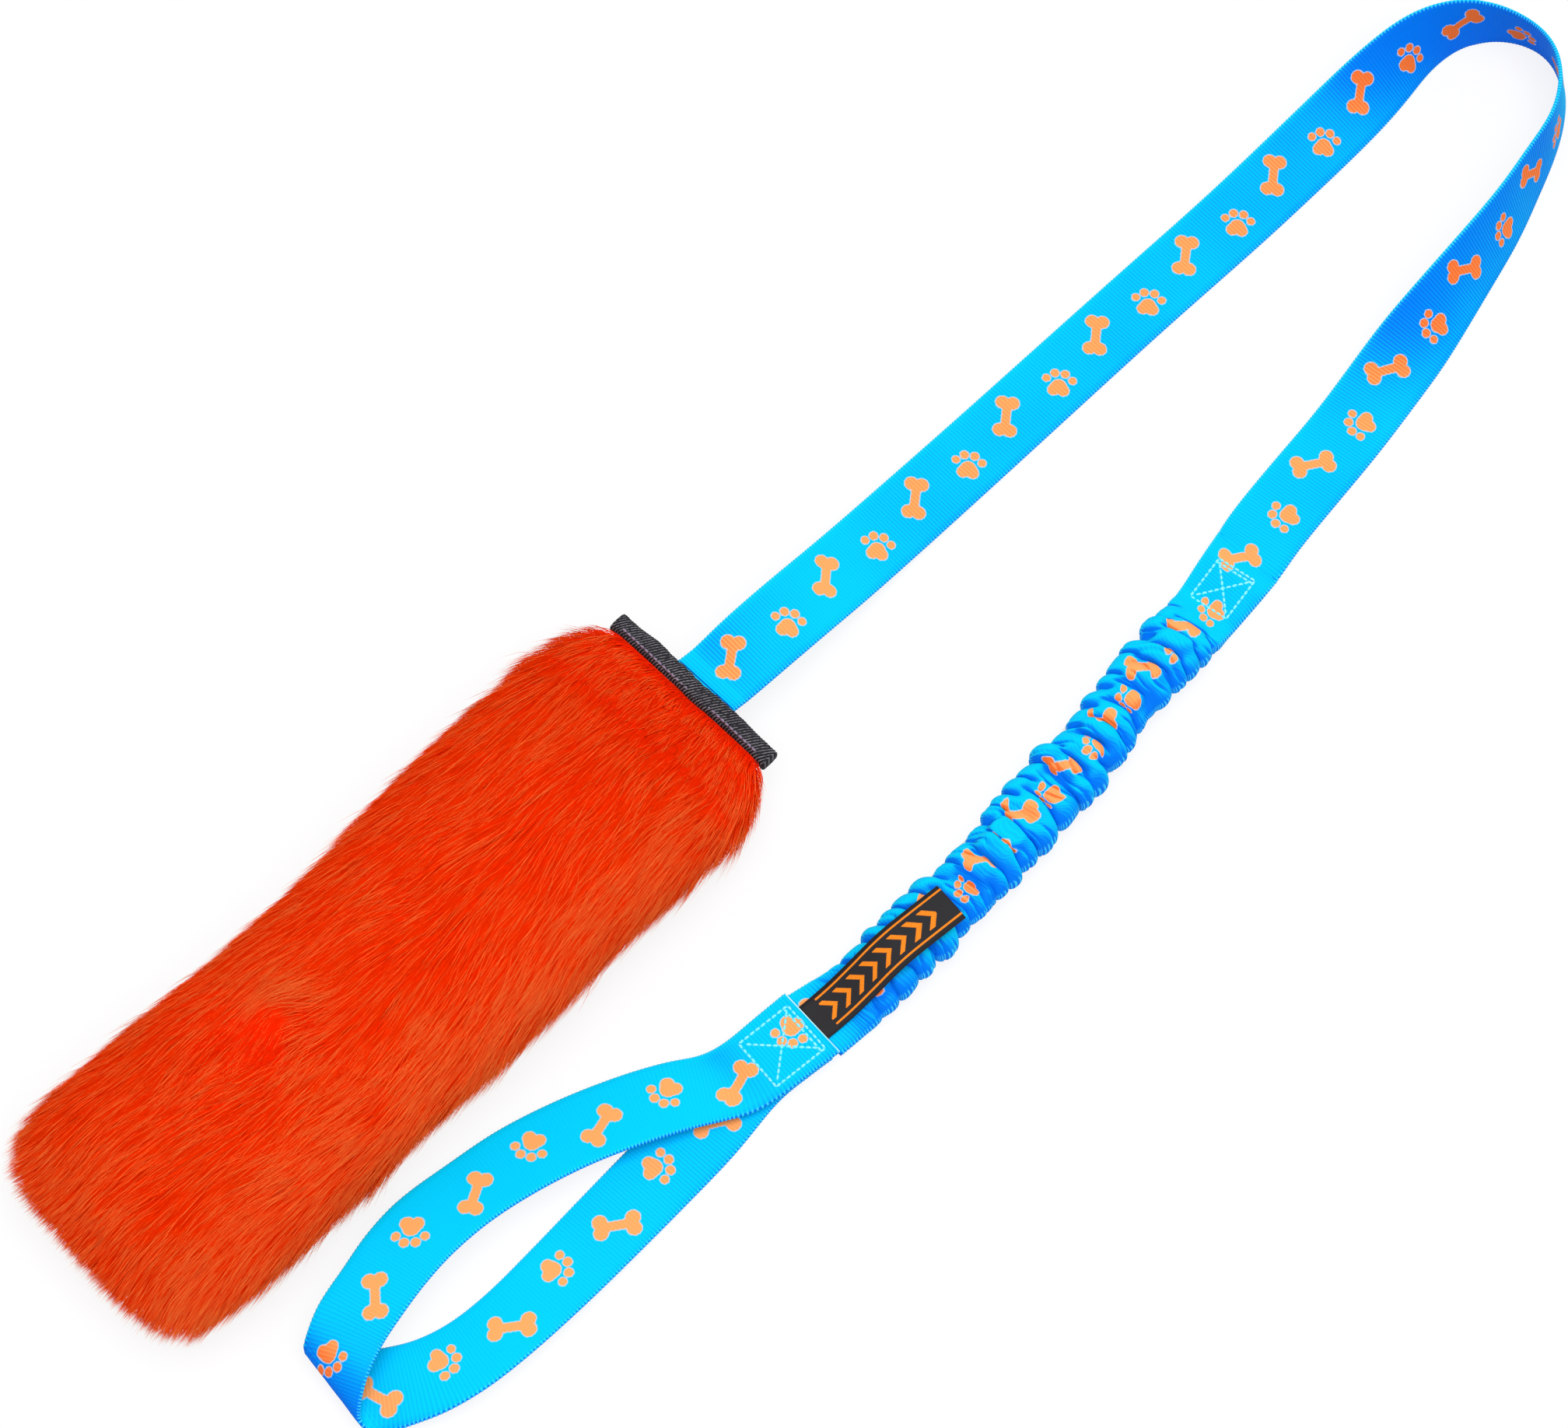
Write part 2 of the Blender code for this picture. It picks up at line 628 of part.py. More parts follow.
def make_box_stitches(finish, lead, grip):
    """The two boxed crosses, sewn where the webbing is joined."""
    rise = FIT_GAP + THREAD_HEIGHT / 2
    grip_place = Vector((CUT_EDGE_X - GRIP_LENGTH / 2, GRIP_Y, GRIP_TOP_Z + rise))
    box_stitch("grip_thread_top", grip_place, 0, GRIP_BOX_LENGTH, GRIP_BOX_WIDTH, finish, grip)
    x = SLEEVE_HIGH_X - SLEEVE_HIGH_FLAT / 2
    y = sleeve_centre_y(x)
    angle = math.atan2(sleeve_centre_y(SLEEVE_HIGH_X) - y, SLEEVE_HIGH_X - x)
    sleeve_place = Vector((x, y, 2 * FLAT_HALF_HEIGHT + rise))
    box_stitch("sleeve_thread_top", sleeve_place, angle, SLEEVE_BOX_LENGTH, SLEEVE_BOX_WIDTH,
               finish, lead)


def make_handle(finish, carrier):
    """The loop: out along the upper strand, round the turn, and back along the lower one."""
    rows = [
        (
            HANDLE_START_X - HANDLE_LENGTH * along,
            GRIP_Y + HANDLE_SPREAD * across,
            STRAND_LIFT * lift,
            turn,
            tilt,
        )
        for along, across, lift, turn, tilt in HANDLE_ROUTE_SHARES
    ]
    rows[0] = (HANDLE_START_X, GRIP_Y, GRIP_FLOOR_Z + WEBBING_THICKNESS / 2, *rows[0][3:])
    rings = turned_strap(rows, WEBBING_WIDTH, WEBBING_THICKNESS)
    return loft("handle_strap", rings, finish, carrier)


def make_label(finish, carrier):
    """The woven label, lying up over the sleeve's first ribs."""
    rows = [
        (
            CUT_EDGE_X + FIT_GAP + LABEL_LENGTH * along,
            GRIP_Y + LABEL_DRIFT * drift,
            GRIP_FLOOR_Z + LABEL_RISE * rise,
            0,
        )
        for along, rise, drift in LABEL_ROUTE_SHARES
    ]
    rings = rolled_strap(rows, LABEL_WIDTH, LABEL_THICKNESS)
    return loft("label_tab", rings, finish, carrier)


def main():
    for old in list(bpy.data.objects):
        bpy.data.objects.remove(old)

    fur = material("fur_orange", (0.87, 0.05, 0.006), 0.9)
    filling = material("filling_white", (0.85, 0.84, 0.80), 0.95)
    tape = material("tape_charcoal", (0.03, 0.03, 0.034), 0.75)
    tape_thread = material("thread_violet", (0.16, 0.13, 0.22), 0.6)
    webbing = material("webbing_blue", (0.0, 0.46, 0.92), 0.5)
    box_thread = material("thread_turquoise", (0.03, 0.62, 0.80), 0.4)
    elastic = material("elastic_white", (0.80, 0.80, 0.78), 0.7)
    label = material("label_black", (0.015, 0.014, 0.016), 0.6)

    lead = pivot("lead_pivot", (HINGE_X, HINGE_Y, HINGE_Z))
    toy = pivot("toy_pivot", (HINGE_X, HINGE_Y, HINGE_Z), lead)
    grip = pivot("grip_slide", (CUT_EDGE_X, GRIP_Y, FLAT_HALF_HEIGHT), lead)
    handle = pivot("handle_pivot", (HANDLE_START_X, GRIP_Y, GRIP_TOP_Z), grip)
    label_hinge = pivot("label_pivot", (LABEL_HINGE_X, GRIP_Y, LABEL_Z), grip)

    make_cover(fur, toy)
    make_filling(filling, toy)
    make_tape(tape, toy)
    make_tape_threads(tape_thread, toy)
    make_anchor(webbing, toy)
    make_lead(webbing, lead)
    make_sleeve(webbing, lead)
    make_elastic(elastic, lead)
    make_grip(webbing, grip)
    make_box_stitches(box_thread, lead, grip)
    make_handle(webbing, handle)
    make_label(label, label_hinge)


main()
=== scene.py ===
# %% [markdown]
# # Dog tug toy
# The real thing is a stuffed faux-fur bolster, sewn to one long tubular strap. The strap is a lead, then
# a gathered bungee, then a hand loop. The frame is a rigid model with joints, and this script dresses it.
# Everything is in metres, in the frame's own place, so no piece has to be fitted by eye.

# %% Load the frame
import math

import bpy
import numpy as np
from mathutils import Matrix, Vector
from mathutils.kdtree import KDTree


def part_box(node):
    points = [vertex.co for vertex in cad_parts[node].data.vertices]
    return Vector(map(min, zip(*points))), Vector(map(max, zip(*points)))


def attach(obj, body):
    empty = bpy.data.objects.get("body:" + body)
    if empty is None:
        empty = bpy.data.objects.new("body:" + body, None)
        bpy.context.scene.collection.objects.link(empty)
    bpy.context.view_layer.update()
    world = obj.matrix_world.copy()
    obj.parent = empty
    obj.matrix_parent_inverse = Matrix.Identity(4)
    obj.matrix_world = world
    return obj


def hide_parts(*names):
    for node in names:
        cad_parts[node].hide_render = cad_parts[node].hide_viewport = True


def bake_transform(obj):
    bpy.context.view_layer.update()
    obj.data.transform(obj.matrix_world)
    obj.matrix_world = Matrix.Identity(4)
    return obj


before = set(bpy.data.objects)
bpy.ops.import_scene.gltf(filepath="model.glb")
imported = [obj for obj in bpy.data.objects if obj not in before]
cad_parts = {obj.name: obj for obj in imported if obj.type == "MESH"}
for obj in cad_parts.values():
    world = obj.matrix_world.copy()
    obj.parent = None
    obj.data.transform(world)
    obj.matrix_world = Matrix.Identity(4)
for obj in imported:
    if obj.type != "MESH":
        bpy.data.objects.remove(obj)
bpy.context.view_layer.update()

# %% [markdown]
# The camera comes first. The photograph was taken from well above with a long lens, over the corner
# between the bolster's tail and the hand loop. A tilt from straight down, a heading and a distance say
# that better than three raw coordinates do.

# %% Camera
AIM = Vector((0.065, 0.0179, 0.0))
CAMERA_DISTANCE = 1.1893
CAMERA_TILT = math.radians(25)
CAMERA_HEADING = math.radians(225)
SENSOR_WIDTH_MM = 36.0
LENS_MM = 87.5


def placed(name, data):
    """A new object in the scene."""
    made = bpy.data.objects.new(name, data)
    bpy.context.scene.collection.objects.link(made)
    return made


camera_data = bpy.data.cameras.new("camera")
camera_data.sensor_fit = "HORIZONTAL"
camera_data.sensor_width = SENSOR_WIDTH_MM
camera_data.lens = LENS_MM
camera = placed("camera", camera_data)
away = Vector((math.cos(CAMERA_HEADING), math.sin(CAMERA_HEADING), 0)) * math.sin(CAMERA_TILT)
away.z = math.cos(CAMERA_TILT)
camera.location = AIM + away * CAMERA_DISTANCE
camera.rotation_euler = (-away).to_track_quat("-Z", "Y").to_euler()
bpy.context.scene.camera = camera
print("camera at", tuple(round(v, 3) for v in camera.location))

# %% [markdown]
# A strap is a flat ribbon that follows a route. Each row of the lead's route has a place, the height of
# the strap's lower edge above the table and a roll about its own line, so a strap that turns over its
# edge is one table of numbers. The route is smoothed, measured and cut into even steps, because the
# webbing's cross ribs have to be evenly spaced along it.

# %% Routes
WEBBING_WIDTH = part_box("strap_end")[1].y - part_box("strap_end")[0].y
WEBBING_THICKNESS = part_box("strap_end")[1].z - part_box("strap_end")[0].z
RIB_PITCH = 0.00115
STEP = RIB_PITCH / 4
ROUTE_DETAIL = 24
SQUARE_OVER = 0.006


def curve_through(rows, steps):
    """A smooth curve through rows of numbers, as an array."""
    rows = np.array(rows, float)
    padded = np.vstack([2 * rows[0] - rows[1], rows, 2 * rows[-1] - rows[-2]])
    t = (np.arange(steps) / steps)[:, None]
    stretches = [
        0.5 * (2 * b + (c - a) * t + (2 * a - 5 * b + 4 * c - d) * t**2
               + (3 * b - a - 3 * c + d) * t**3)
        for a, b, c, d in zip(padded, padded[1:], padded[2:], padded[3:])
    ]
    return np.vstack([*stretches, rows[-1:]])


def eased(rows, rounds):
    """The rows with small kinks eased away, and both ends kept where they are."""
    for _ in range(rounds):
        middle = (rows[:-2] + 2 * rows[1:-1] + rows[2:]) / 4
        rows = np.vstack([rows[:1], middle, rows[-1:]])
    return rows


def unit(vectors):
    """Vectors of length one."""
    return vectors / (np.linalg.norm(vectors, axis=-1, keepdims=True) + 1e-12)


def metres_along(line):
    """How far each point of a line is from its start, along the line."""
    return np.concatenate([[0], np.cumsum(np.linalg.norm(np.diff(line, axis=0), axis=1))])


def evenly(centre, others):
    """A centre line and what goes with it, at even steps; also metres along and the run."""
    metres = metres_along(centre)
    along = np.linspace(0, metres[-1], round(metres[-1] / STEP) + 1)
    rows = np.hstack([centre, others])
    rows = np.column_stack([np.interp(along, metres, column) for column in rows.T])
    run = unit(np.gradient(rows[:, :3], axis=0))
    return rows[:, :3], rows[:, 3:], along, run


def strap_by_roll(route, rounds=90):
    """Centre, half-width vector, outward direction, metres along and run, from rows with a roll."""
    rows = eased(curve_through(route, ROUTE_DETAIL), rounds)
    roll = np.radians(rows[:, 3])
    lift = WEBBING_WIDTH / 2 * np.abs(np.sin(roll)) + WEBBING_THICKNESS / 2 * np.abs(np.cos(roll))
    centre = np.column_stack([rows[:, 0], rows[:, 1], rows[:, 2] + lift])
    centre, roll, along, run = evenly(centre, roll[:, None])
    for end in (0, -1):
        square = np.array([np.sign(run[end, 0]), 0, 0])
        share = np.exp(-np.abs(along - along[end]) / SQUARE_OVER)[:, None]
        run = unit(run + (square - run) * share)
    left = unit(np.column_stack([-run[:, 1], run[:, 0], np.zeros(len(run))]))
    up = np.cross(run, left)
    reach = (left * np.cos(roll) + up * np.sin(roll)) * WEBBING_WIDTH / 2
    return centre, reach, unit(np.cross(run, reach)), along, run


def strap_by_edges(left, right, rounds=36):
    """The same five, from a row of places along each of the strap's two edges."""
    left = eased(curve_through(left, ROUTE_DETAIL), rounds)
    right = eased(curve_through(right, ROUTE_DETAIL), rounds)
    centre, reach, along, run = evenly((left + right) / 2, (right - left) / 2)
    return centre, reach, unit(np.cross(run, reach)), along, run


# %% [markdown]
# The pieces are closed skins: rings of points, joined to their neighbours and capped at both ends. One
# builder makes them all. It also lays out a map for baking, in rows of even length, and stores numbers on
# the points, such as the place along the webbing, which the materials read.

# %% Skins
MAP_MARGIN = 0.02
MAP_EDGE = 0.005


def store(mesh, name, values):
    """Keep a number for each point of a mesh, for its material to read."""
    attribute = mesh.attributes.new(name, "FLOAT", "POINT")
    attribute.data.foreach_set("value", np.asarray(values, np.float32).ravel())


def skin(name, rings, rows=1, **numbers):
    """A closed skin over rings of points, with a bake map in rows and numbers on its points."""
    count, sides = rings.shape[:2]
    i, j = np.meshgrid(np.arange(count - 1), np.arange(sides), indexing="ij")
    k = (j + 1) % sides
    quads = np.stack([i * sides + j, i * sides + k, (i + 1) * sides + k, (i + 1) * sides + j], -1)
    quads = quads.reshape(-1, 4)
    ends = [np.arange(sides)[::-1], np.arange(sides) + (count - 1) * sides]
    mesh = bpy.data.meshes.new(name)
    mesh.from_pydata(rings.reshape(-1, 3), [], [*quads.tolist(), *(end.tolist() for end in ends)])
    per_row = math.ceil((count - 1) / rows)
    row = i // per_row
    near, far = (i - row * per_row) / per_row, (i + 1 - row * per_row) / per_row
    low, high = [(row + MAP_MARGIN + (1 - 2 * MAP_MARGIN) * k / sides) / rows for k in (j, j + 1)]
    u = np.stack([near, near, far, far], -1).ravel()
    v = np.stack([low, high, high, low], -1).ravel()
    u = np.concatenate([MAP_EDGE + (1 - 2 * MAP_EDGE) * u, np.full(2 * sides, 1 - MAP_EDGE / 2)])
    v = np.concatenate([v, np.tile(np.linspace(0, 1, sides), 2)])
    mesh.uv_layers.new(name="OFBake").uv.foreach_set(
        "vector", np.column_stack([u, v]).astype(np.float32).ravel())
    for label, values in numbers.items():
        store(mesh, label, np.broadcast_to(values, (count, sides)))
    mesh.shade_smooth()
    return placed(name, mesh)


def turned_outward(piece):
    """Flip a closed skin whose volume comes out negative."""
    mesh = piece.data
    mesh.calc_loop_triangles()
    points = np.empty(len(mesh.vertices) * 3, np.float32)
    mesh.vertices.foreach_get("co", points)
    corners = np.empty(len(mesh.loop_triangles) * 3, np.int32)
    mesh.loop_triangles.foreach_get("vertices", corners)
    a, b, c = points.reshape(-1, 3)[corners.reshape(-1, 3)].transpose(1, 0, 2)
    if np.einsum("ij,ij->i", a, np.cross(b, c)).sum() < 0:
        mesh.flip_normals()
    return piece


# %% [markdown]
# Tubular webbing lies flat as two layers with soft round edges. Its weft makes fine ribs from edge to
# edge, and where the weft turns back, the edge is a row of small scallops. Both are in the mesh, so they
# catch light from any side.

# %% Webbing
RIB_HEIGHT = 0.00005
SCALLOP = 0.00012
SCALLOP_SHARPNESS = 24
CUT_MELT = 0.0005  # how far the heat that seals a cut end reaches
FACE_POINTS = 12
EDGE_POINTS = 3


def powered(value, power):
    """A power that keeps the sign."""
    return np.sign(value) * np.abs(value) ** power


def webbing_profile(thickness):
    """Shares of half the width and half the thickness, once round the strap."""
    flat = np.linspace(-1, 1, FACE_POINTS + 1)
    turn = np.linspace(0, math.pi, EDGE_POINTS + 2)[1:-1]
    round_share = thickness / WEBBING_WIDTH
    inner = 1 - round_share
    top = np.column_stack([flat * inner, np.ones_like(flat)])
    right = np.column_stack([inner + round_share * np.sin(turn), np.cos(turn)])
    bottom = np.column_stack([-flat * inner, -np.ones_like(flat)])
    left = np.column_stack([-inner - round_share * np.sin(turn), -np.cos(turn)])
    return np.vstack([top, right, bottom, left])


def webbing(name, strap, rows, start_along, thickness=WEBBING_THICKNESS, melted=0.0):
    """A length of webbing, ribbed and scalloped, with the place along and across it on its points."""
    centre, reach, outward, along, run = strap
    profile = webbing_profile(thickness)
    skew = (reach * run).sum(1)
    along = along[:, None] + skew[:, None] * profile[None, :, 0] + start_along
    wave = np.cos(2 * math.pi * along / RIB_PITCH)
    edge = powered(profile[:, 0], SCALLOP_SHARPNESS)
    share = SCALLOP / (WEBBING_WIDTH / 2)
    sideways = profile[:, 0] * (1 - share) + edge * share * wave
    height = profile[:, 1] * (thickness / 2 - RIB_HEIGHT + RIB_HEIGHT * wave)
    rings = (centre[:, None] + reach[:, None] * sideways[..., None]
             + outward[:, None] * height[..., None])
    cut = melted * np.exp(-np.arange(len(centre)) * STEP / CUT_MELT)
    piece = skin(name, rings, rows, along=along, across=profile[None, :, 0] * WEBBING_WIDTH / 2,
                 crease=0.0, cut=cut[:, None])
    print(name, "is", round(len(centre) * STEP, 3), "m long, with", len(piece.data.polygons), "faces")
    return turned_outward(piece)


# %% [markdown]
# The lead is the free part of the strap. It leaves the bolster's mouth, drops to the table, runs straight,
# turns back in one wide bend standing on its edge, and lies down again before the bungee. The photograph
# shows all of it but a few millimetres of the bend, so its length is measured along that route.

# %% The lead
LEAD_ROUTE = [
    (0.0503, 0.0370, 0.0133, 0),
    (0.0565, 0.0367, 0.0129, 0),
    (0.0701, 0.0362, 0.0129, 8),
    (0.0901, 0.0365, 0.0100, 12),
    (0.1101, 0.0376, 0.0050, 12),
    (0.1350, 0.0387, 0.0015, 10),
    (0.1750, 0.0394, 0.0002, 6),
    (0.2150, 0.0398, 0.0001, 4),
    (0.2550, 0.0400, 0.0001, 3),
    (0.2950, 0.0395, 0.0001, 6),
    (0.3270, 0.0397, 0.0001, 12),
    (0.3530, 0.0399, 0.0001, 22),
    (0.3710, 0.0399, 0.0001, 38),
    (0.3884, 0.0392, 0.0001, 60),
    (0.4036, 0.0335, 0.0001, 83),
    (0.4137, 0.0230, 0.0001, 101),
    (0.4177, 0.0104, 0.0001, 109),
    (0.4134, -0.0010, 0.0001, 106),
    (0.4037, -0.0102, 0.0001, 102),
    (0.3910, -0.0169, 0.0001, 102),
    (0.3754, -0.0215, 0.0001, 109),
    (0.3566, -0.0265, 0.0001, 118),
    (0.3346, -0.0302, 0.0001, 130),
    (0.3131, -0.0333, 0.0001, 147),
    (0.2910, -0.0360, 0.0001, 172),
    (0.2651, -0.0400, 0.0001, 179),
    (0.2400, -0.0429, 0.0002, 178),
    (0.2199, -0.0454, 0.0006, 179),
    (0.2073, -0.0480, 0.0011, 180),
]
lead_strap = strap_by_roll(LEAD_ROUTE)
LEAD_PRINT_START = 0.30
lead = webbing("lead_webbing", lead_strap, rows=4, start_along=LEAD_PRINT_START)
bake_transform(lead)

# %% [markdown]
# Materials are built from nodes. A number in a node tree gets a small class of its own, so that a sum on
# it reads as a sum and becomes Math nodes. The helpers below it add the other nodes that finishes need.

# %% Node helpers
class Number:
    """A number in a node tree; sums on it become Math nodes."""

    def __init__(self, socket):
        self.socket = socket
        self.tree = socket.id_data

    def math(self, operation, *others):
        node = self.tree.nodes.new("ShaderNodeMath")
        node.operation = operation
        for target, value in zip(node.inputs, (self, *others)):
            put(target, value)
        return Number(node.outputs[0])

    def __add__(self, other):
        return self.math("ADD", other)

    def __sub__(self, other):
        return self.math("SUBTRACT", other)

    def __mul__(self, other):
        return self.math("MULTIPLY", other)

    def __abs__(self):
        return self.math("ABSOLUTE")


def put(target, value):
    """Link a number or an output to an input, or set the input's own value."""
    if isinstance(value, Number):
        value = value.socket
    if isinstance(value, bpy.types.NodeSocket):
        target.id_data.links.new(value, target)
    else:
        target.default_value = value


def new_material(name, roughness, specular=0.3, **sockets):
    """A node material; the numbers that never vary are set on the shader itself."""
    made = bpy.data.materials.new(name)
    made.use_nodes = True
    shader = made.node_tree.nodes["Principled BSDF"]
    shader.inputs["Roughness"].default_value = roughness
    shader.inputs["Specular IOR Level"].default_value = specular
    for label, value in sockets.items():
        shader.inputs[label.replace("_", " ").title()].default_value = value
    return made, made.node_tree, shader


def stored(tree, name):
    """A number that was stored on the points."""
    node = tree.nodes.new("ShaderNodeAttribute")
    node.attribute_name = name
    return Number(node.outputs["Fac"])


def axes_of(vector):
    """The three numbers of a vector."""
    node = vector.id_data.nodes.new("ShaderNodeSeparateXYZ")
    put(node.inputs[0], vector)
    return [Number(output) for output in node.outputs]


def noise(tree, scale, detail=2.0):
    """Smooth noise from 0 to 1, in the object's own space."""
    node = tree.nodes.new("ShaderNodeTexNoise")
    node.inputs["Scale"].default_value = scale
    node.inputs["Detail"].default_value = detail
    put(node.inputs["Vector"], tree.nodes.new("ShaderNodeTexCoord").outputs["Object"])
    return Number(node.outputs[0])


def ripple(number, length):
    """A cosine wave of this length."""
    return (number * (2 * math.pi / length)).math("COSINE")


def ramp(number, low, high):
    """0 below low, 1 above high, and smooth in between."""
    node = number.tree.nodes.new("ShaderNodeMapRange")
    node.interpolation_type = "SMOOTHSTEP"
    put(node.inputs["Value"], number)
    node.inputs["From Min"].default_value = low
    node.inputs["From Max"].default_value = high
    return Number(node.outputs["Result"])


def mixed(share, first, second):
    """A colour between two colours."""
    node = share.tree.nodes.new("ShaderNodeMix")
    node.data_type = "RGBA"
    put(node.inputs["Factor"], share)
    put(node.inputs[6], first)
    put(node.inputs[7], second)
    return node.outputs[2]


def finished(made, shader, colour, height=None, strength=0.0, distance=0.0):
    """The material with its colour and, where it has a height, its fine relief."""
    put(shader.inputs["Base Color"], colour)
    if height is not None:
        node = made.node_tree.nodes.new("ShaderNodeBump")
        node.inputs["Strength"].default_value = strength
        node.inputs["Distance"].default_value = distance
        put(node.inputs["Height"], height)
        put(shader.inputs["Normal"], node.outputs[0])
    return made


# %% [markdown]
# The floor and the light. A product picture on white has one broad soft light and pale surroundings
# that fill every shadow. The world gives the fill and one large area lamp gives the shape, and together
# they light a level surface at about one, so colours come out as they are written. The floor looks
# white because the camera sees mostly a plain white in it; the rest is real floor, which keeps a soft
# trace of the object's shadow.

# %% Stage and light
FLOOR_SIZE = 6.0
FLOOR_COLOUR = (0.86, 0.86, 0.86, 1)
FLOOR_WHITE_SHARE = 0.82
WORLD_LEVEL = 0.50
LAMP_SIZE = 1.8
LAMP_POWER = 33.0
LAMP_PLACE = Vector((-0.05, -0.30, 1.75))


def is_seen(tree):
    """1 for rays that show a surface as it is: from the camera, off a gloss or through glass."""
    rays = tree.nodes.new("ShaderNodeLightPath").outputs
    seen = Number(rays["Is Camera Ray"])
    for kind in ("Is Glossy Ray", "Is Transmission Ray"):
        seen = seen.math("MAXIMUM", rays[kind])
    return seen


half = FLOOR_SIZE / 2
floor_mesh = bpy.data.meshes.new("floor")
floor_mesh.from_pydata([(-half, -half, 0), (half, -half, 0), (half, half, 0), (-half, half, 0)], [],
                       [(0, 1, 2, 3)])
floor = placed("floor", floor_mesh)
floor_paint, floor_tree, floor_shader = new_material("floor_white", 0.9, 0.0, base_color=FLOOR_COLOUR)
white = floor_tree.nodes.new("ShaderNodeEmission")
floor_mix = floor_tree.nodes.new("ShaderNodeMixShader")
put(floor_mix.inputs[0], is_seen(floor_tree) * FLOOR_WHITE_SHARE)
put(floor_mix.inputs[1], floor_shader.outputs[0])
put(floor_mix.inputs[2], white.outputs[0])
put(floor_tree.nodes["Material Output"].inputs[0], floor_mix.outputs[0])
floor_mesh.materials.append(floor_paint)

world = bpy.data.worlds.new("studio")
world.use_nodes = True
sky = world.node_tree.nodes["Background"]
sky.inputs["Color"].default_value = (1, 1, 1, 1)
put(sky.inputs["Strength"], is_seen(world.node_tree) * (1 - WORLD_LEVEL) + WORLD_LEVEL)
bpy.context.scene.world = world

lamp_data = bpy.data.lights.new("softbox", "AREA")
lamp_data.shape = "SQUARE"
lamp_data.size = LAMP_SIZE
lamp_data.energy = LAMP_POWER
lamp = placed("softbox", lamp_data)
lamp.location = LAMP_PLACE
lamp.rotation_euler = (AIM - LAMP_PLACE).to_track_quat("-Z", "Y").to_euler()
bpy.context.scene.view_settings.view_transform = "Standard"
print("floor", FLOOR_SIZE, "m wide; softbox", LAMP_SIZE, "m wide at", LAMP_PLACE.length, "m")

# %% [markdown]
# The webbing is dyed bright blue and printed in orange. The print here is a plain row of bones and paw
# marks. Each is a shape from distances: a bone is a bar with two knobs at each end, and a paw is a pad
# with four toes. The distance to the shape's edge gives the orange, a thin pale rim where the print
# ends, and a slightly ragged outline, because ink sits on the ribs. Shade is painted into the colour:
# the blue and the print are deeper in creases, in the rib troughs and where the strap leans towards
# -X and -Y.

# %% Printed webbing
PRINT_PITCH = 0.0215
PRINT_SWAY = 0.0018
BONE_TILT = math.radians(38)
PAW_TILT = math.radians(-52)
BONE = {"half_length": 0.0050, "half_width": 0.0014, "knob_out": 0.0050, "knob_up": 0.0017,
        "knob_radius": 0.0022}
PAW_PADS = [(0.0, -0.0014, 0.0025), (0.0016, -0.0028, 0.0019), (0.0017, 0.0033, 0.0014),
            (0.0043, 0.0012, 0.0013)]
RIM_WIDTH = 0.0004
YARN_PITCH = 0.00055
PALE_EDGE = (WEBBING_WIDTH / 2 - 0.0011, WEBBING_WIDTH / 2 - 0.0002)
BLUE_LIT = (0.0, 0.58, 0.93, 1)
BLUE_SHADED = (0.0, 0.165, 0.78, 1)
BLUE_EDGE = (0.06, 0.78, 1.0, 1)
MELTED_EDGE = (0.62, 0.93, 1.0, 1)
PRINT_ORANGE = (1.0, 0.38, 0.12, 1)
PRINT_SHADED = (0.80, 0.15, 0.03, 1)
PRINT_RIM = (0.52, 0.58, 0.66, 1)


def turned(a, b, angle):
    """Two coordinates turned by an angle."""
    c, s = math.cos(angle), math.sin(angle)
    return a * c + b * s, b * c - a * s


def to_circle(a, b, x, y, radius):
    """Distance outside a circle."""
    dx, dy = a - x, b - y
    return (dx * dx + dy * dy).math("SQRT") - radius


def to_bone(a, b):
    """Distance outside a bone that lies along a."""
    a, b = abs(a), abs(b)
    bar = (a - BONE["half_length"]).math("MAXIMUM", b - BONE["half_width"])
    knob = to_circle(a, b, BONE["knob_out"], BONE["knob_up"], BONE["knob_radius"])
    return bar.math("SMOOTH_MIN", knob, 0.001)


def to_paw(a, b):
    """Distance outside a paw mark whose toes point along b."""
    a = abs(a)
    pads = [to_circle(a, b, *pad) for pad in PAW_PADS]
    heel = pads[0].math("SMOOTH_MIN", pads[1], 0.0012)
    return heel.math("MINIMUM", pads[2].math("MINIMUM", pads[3]))


def print_distance(along, across):
    """Distance outside the nearest printed mark; bones and paws take turns."""
    cell = along.math("DIVIDE", PRINT_PITCH).math("FLOOR")
    is_paw = cell.math("MODULO", 2.0)
    a = along - (cell + 0.5) * PRINT_PITCH
    b = across + (is_paw * 2.0 - 1.0) * PRINT_SWAY
    bone = to_bone(*turned(a, b, BONE_TILT))
    paw = to_paw(*turned(a, b, PAW_TILT))
    return bone + (paw - bone) * is_paw


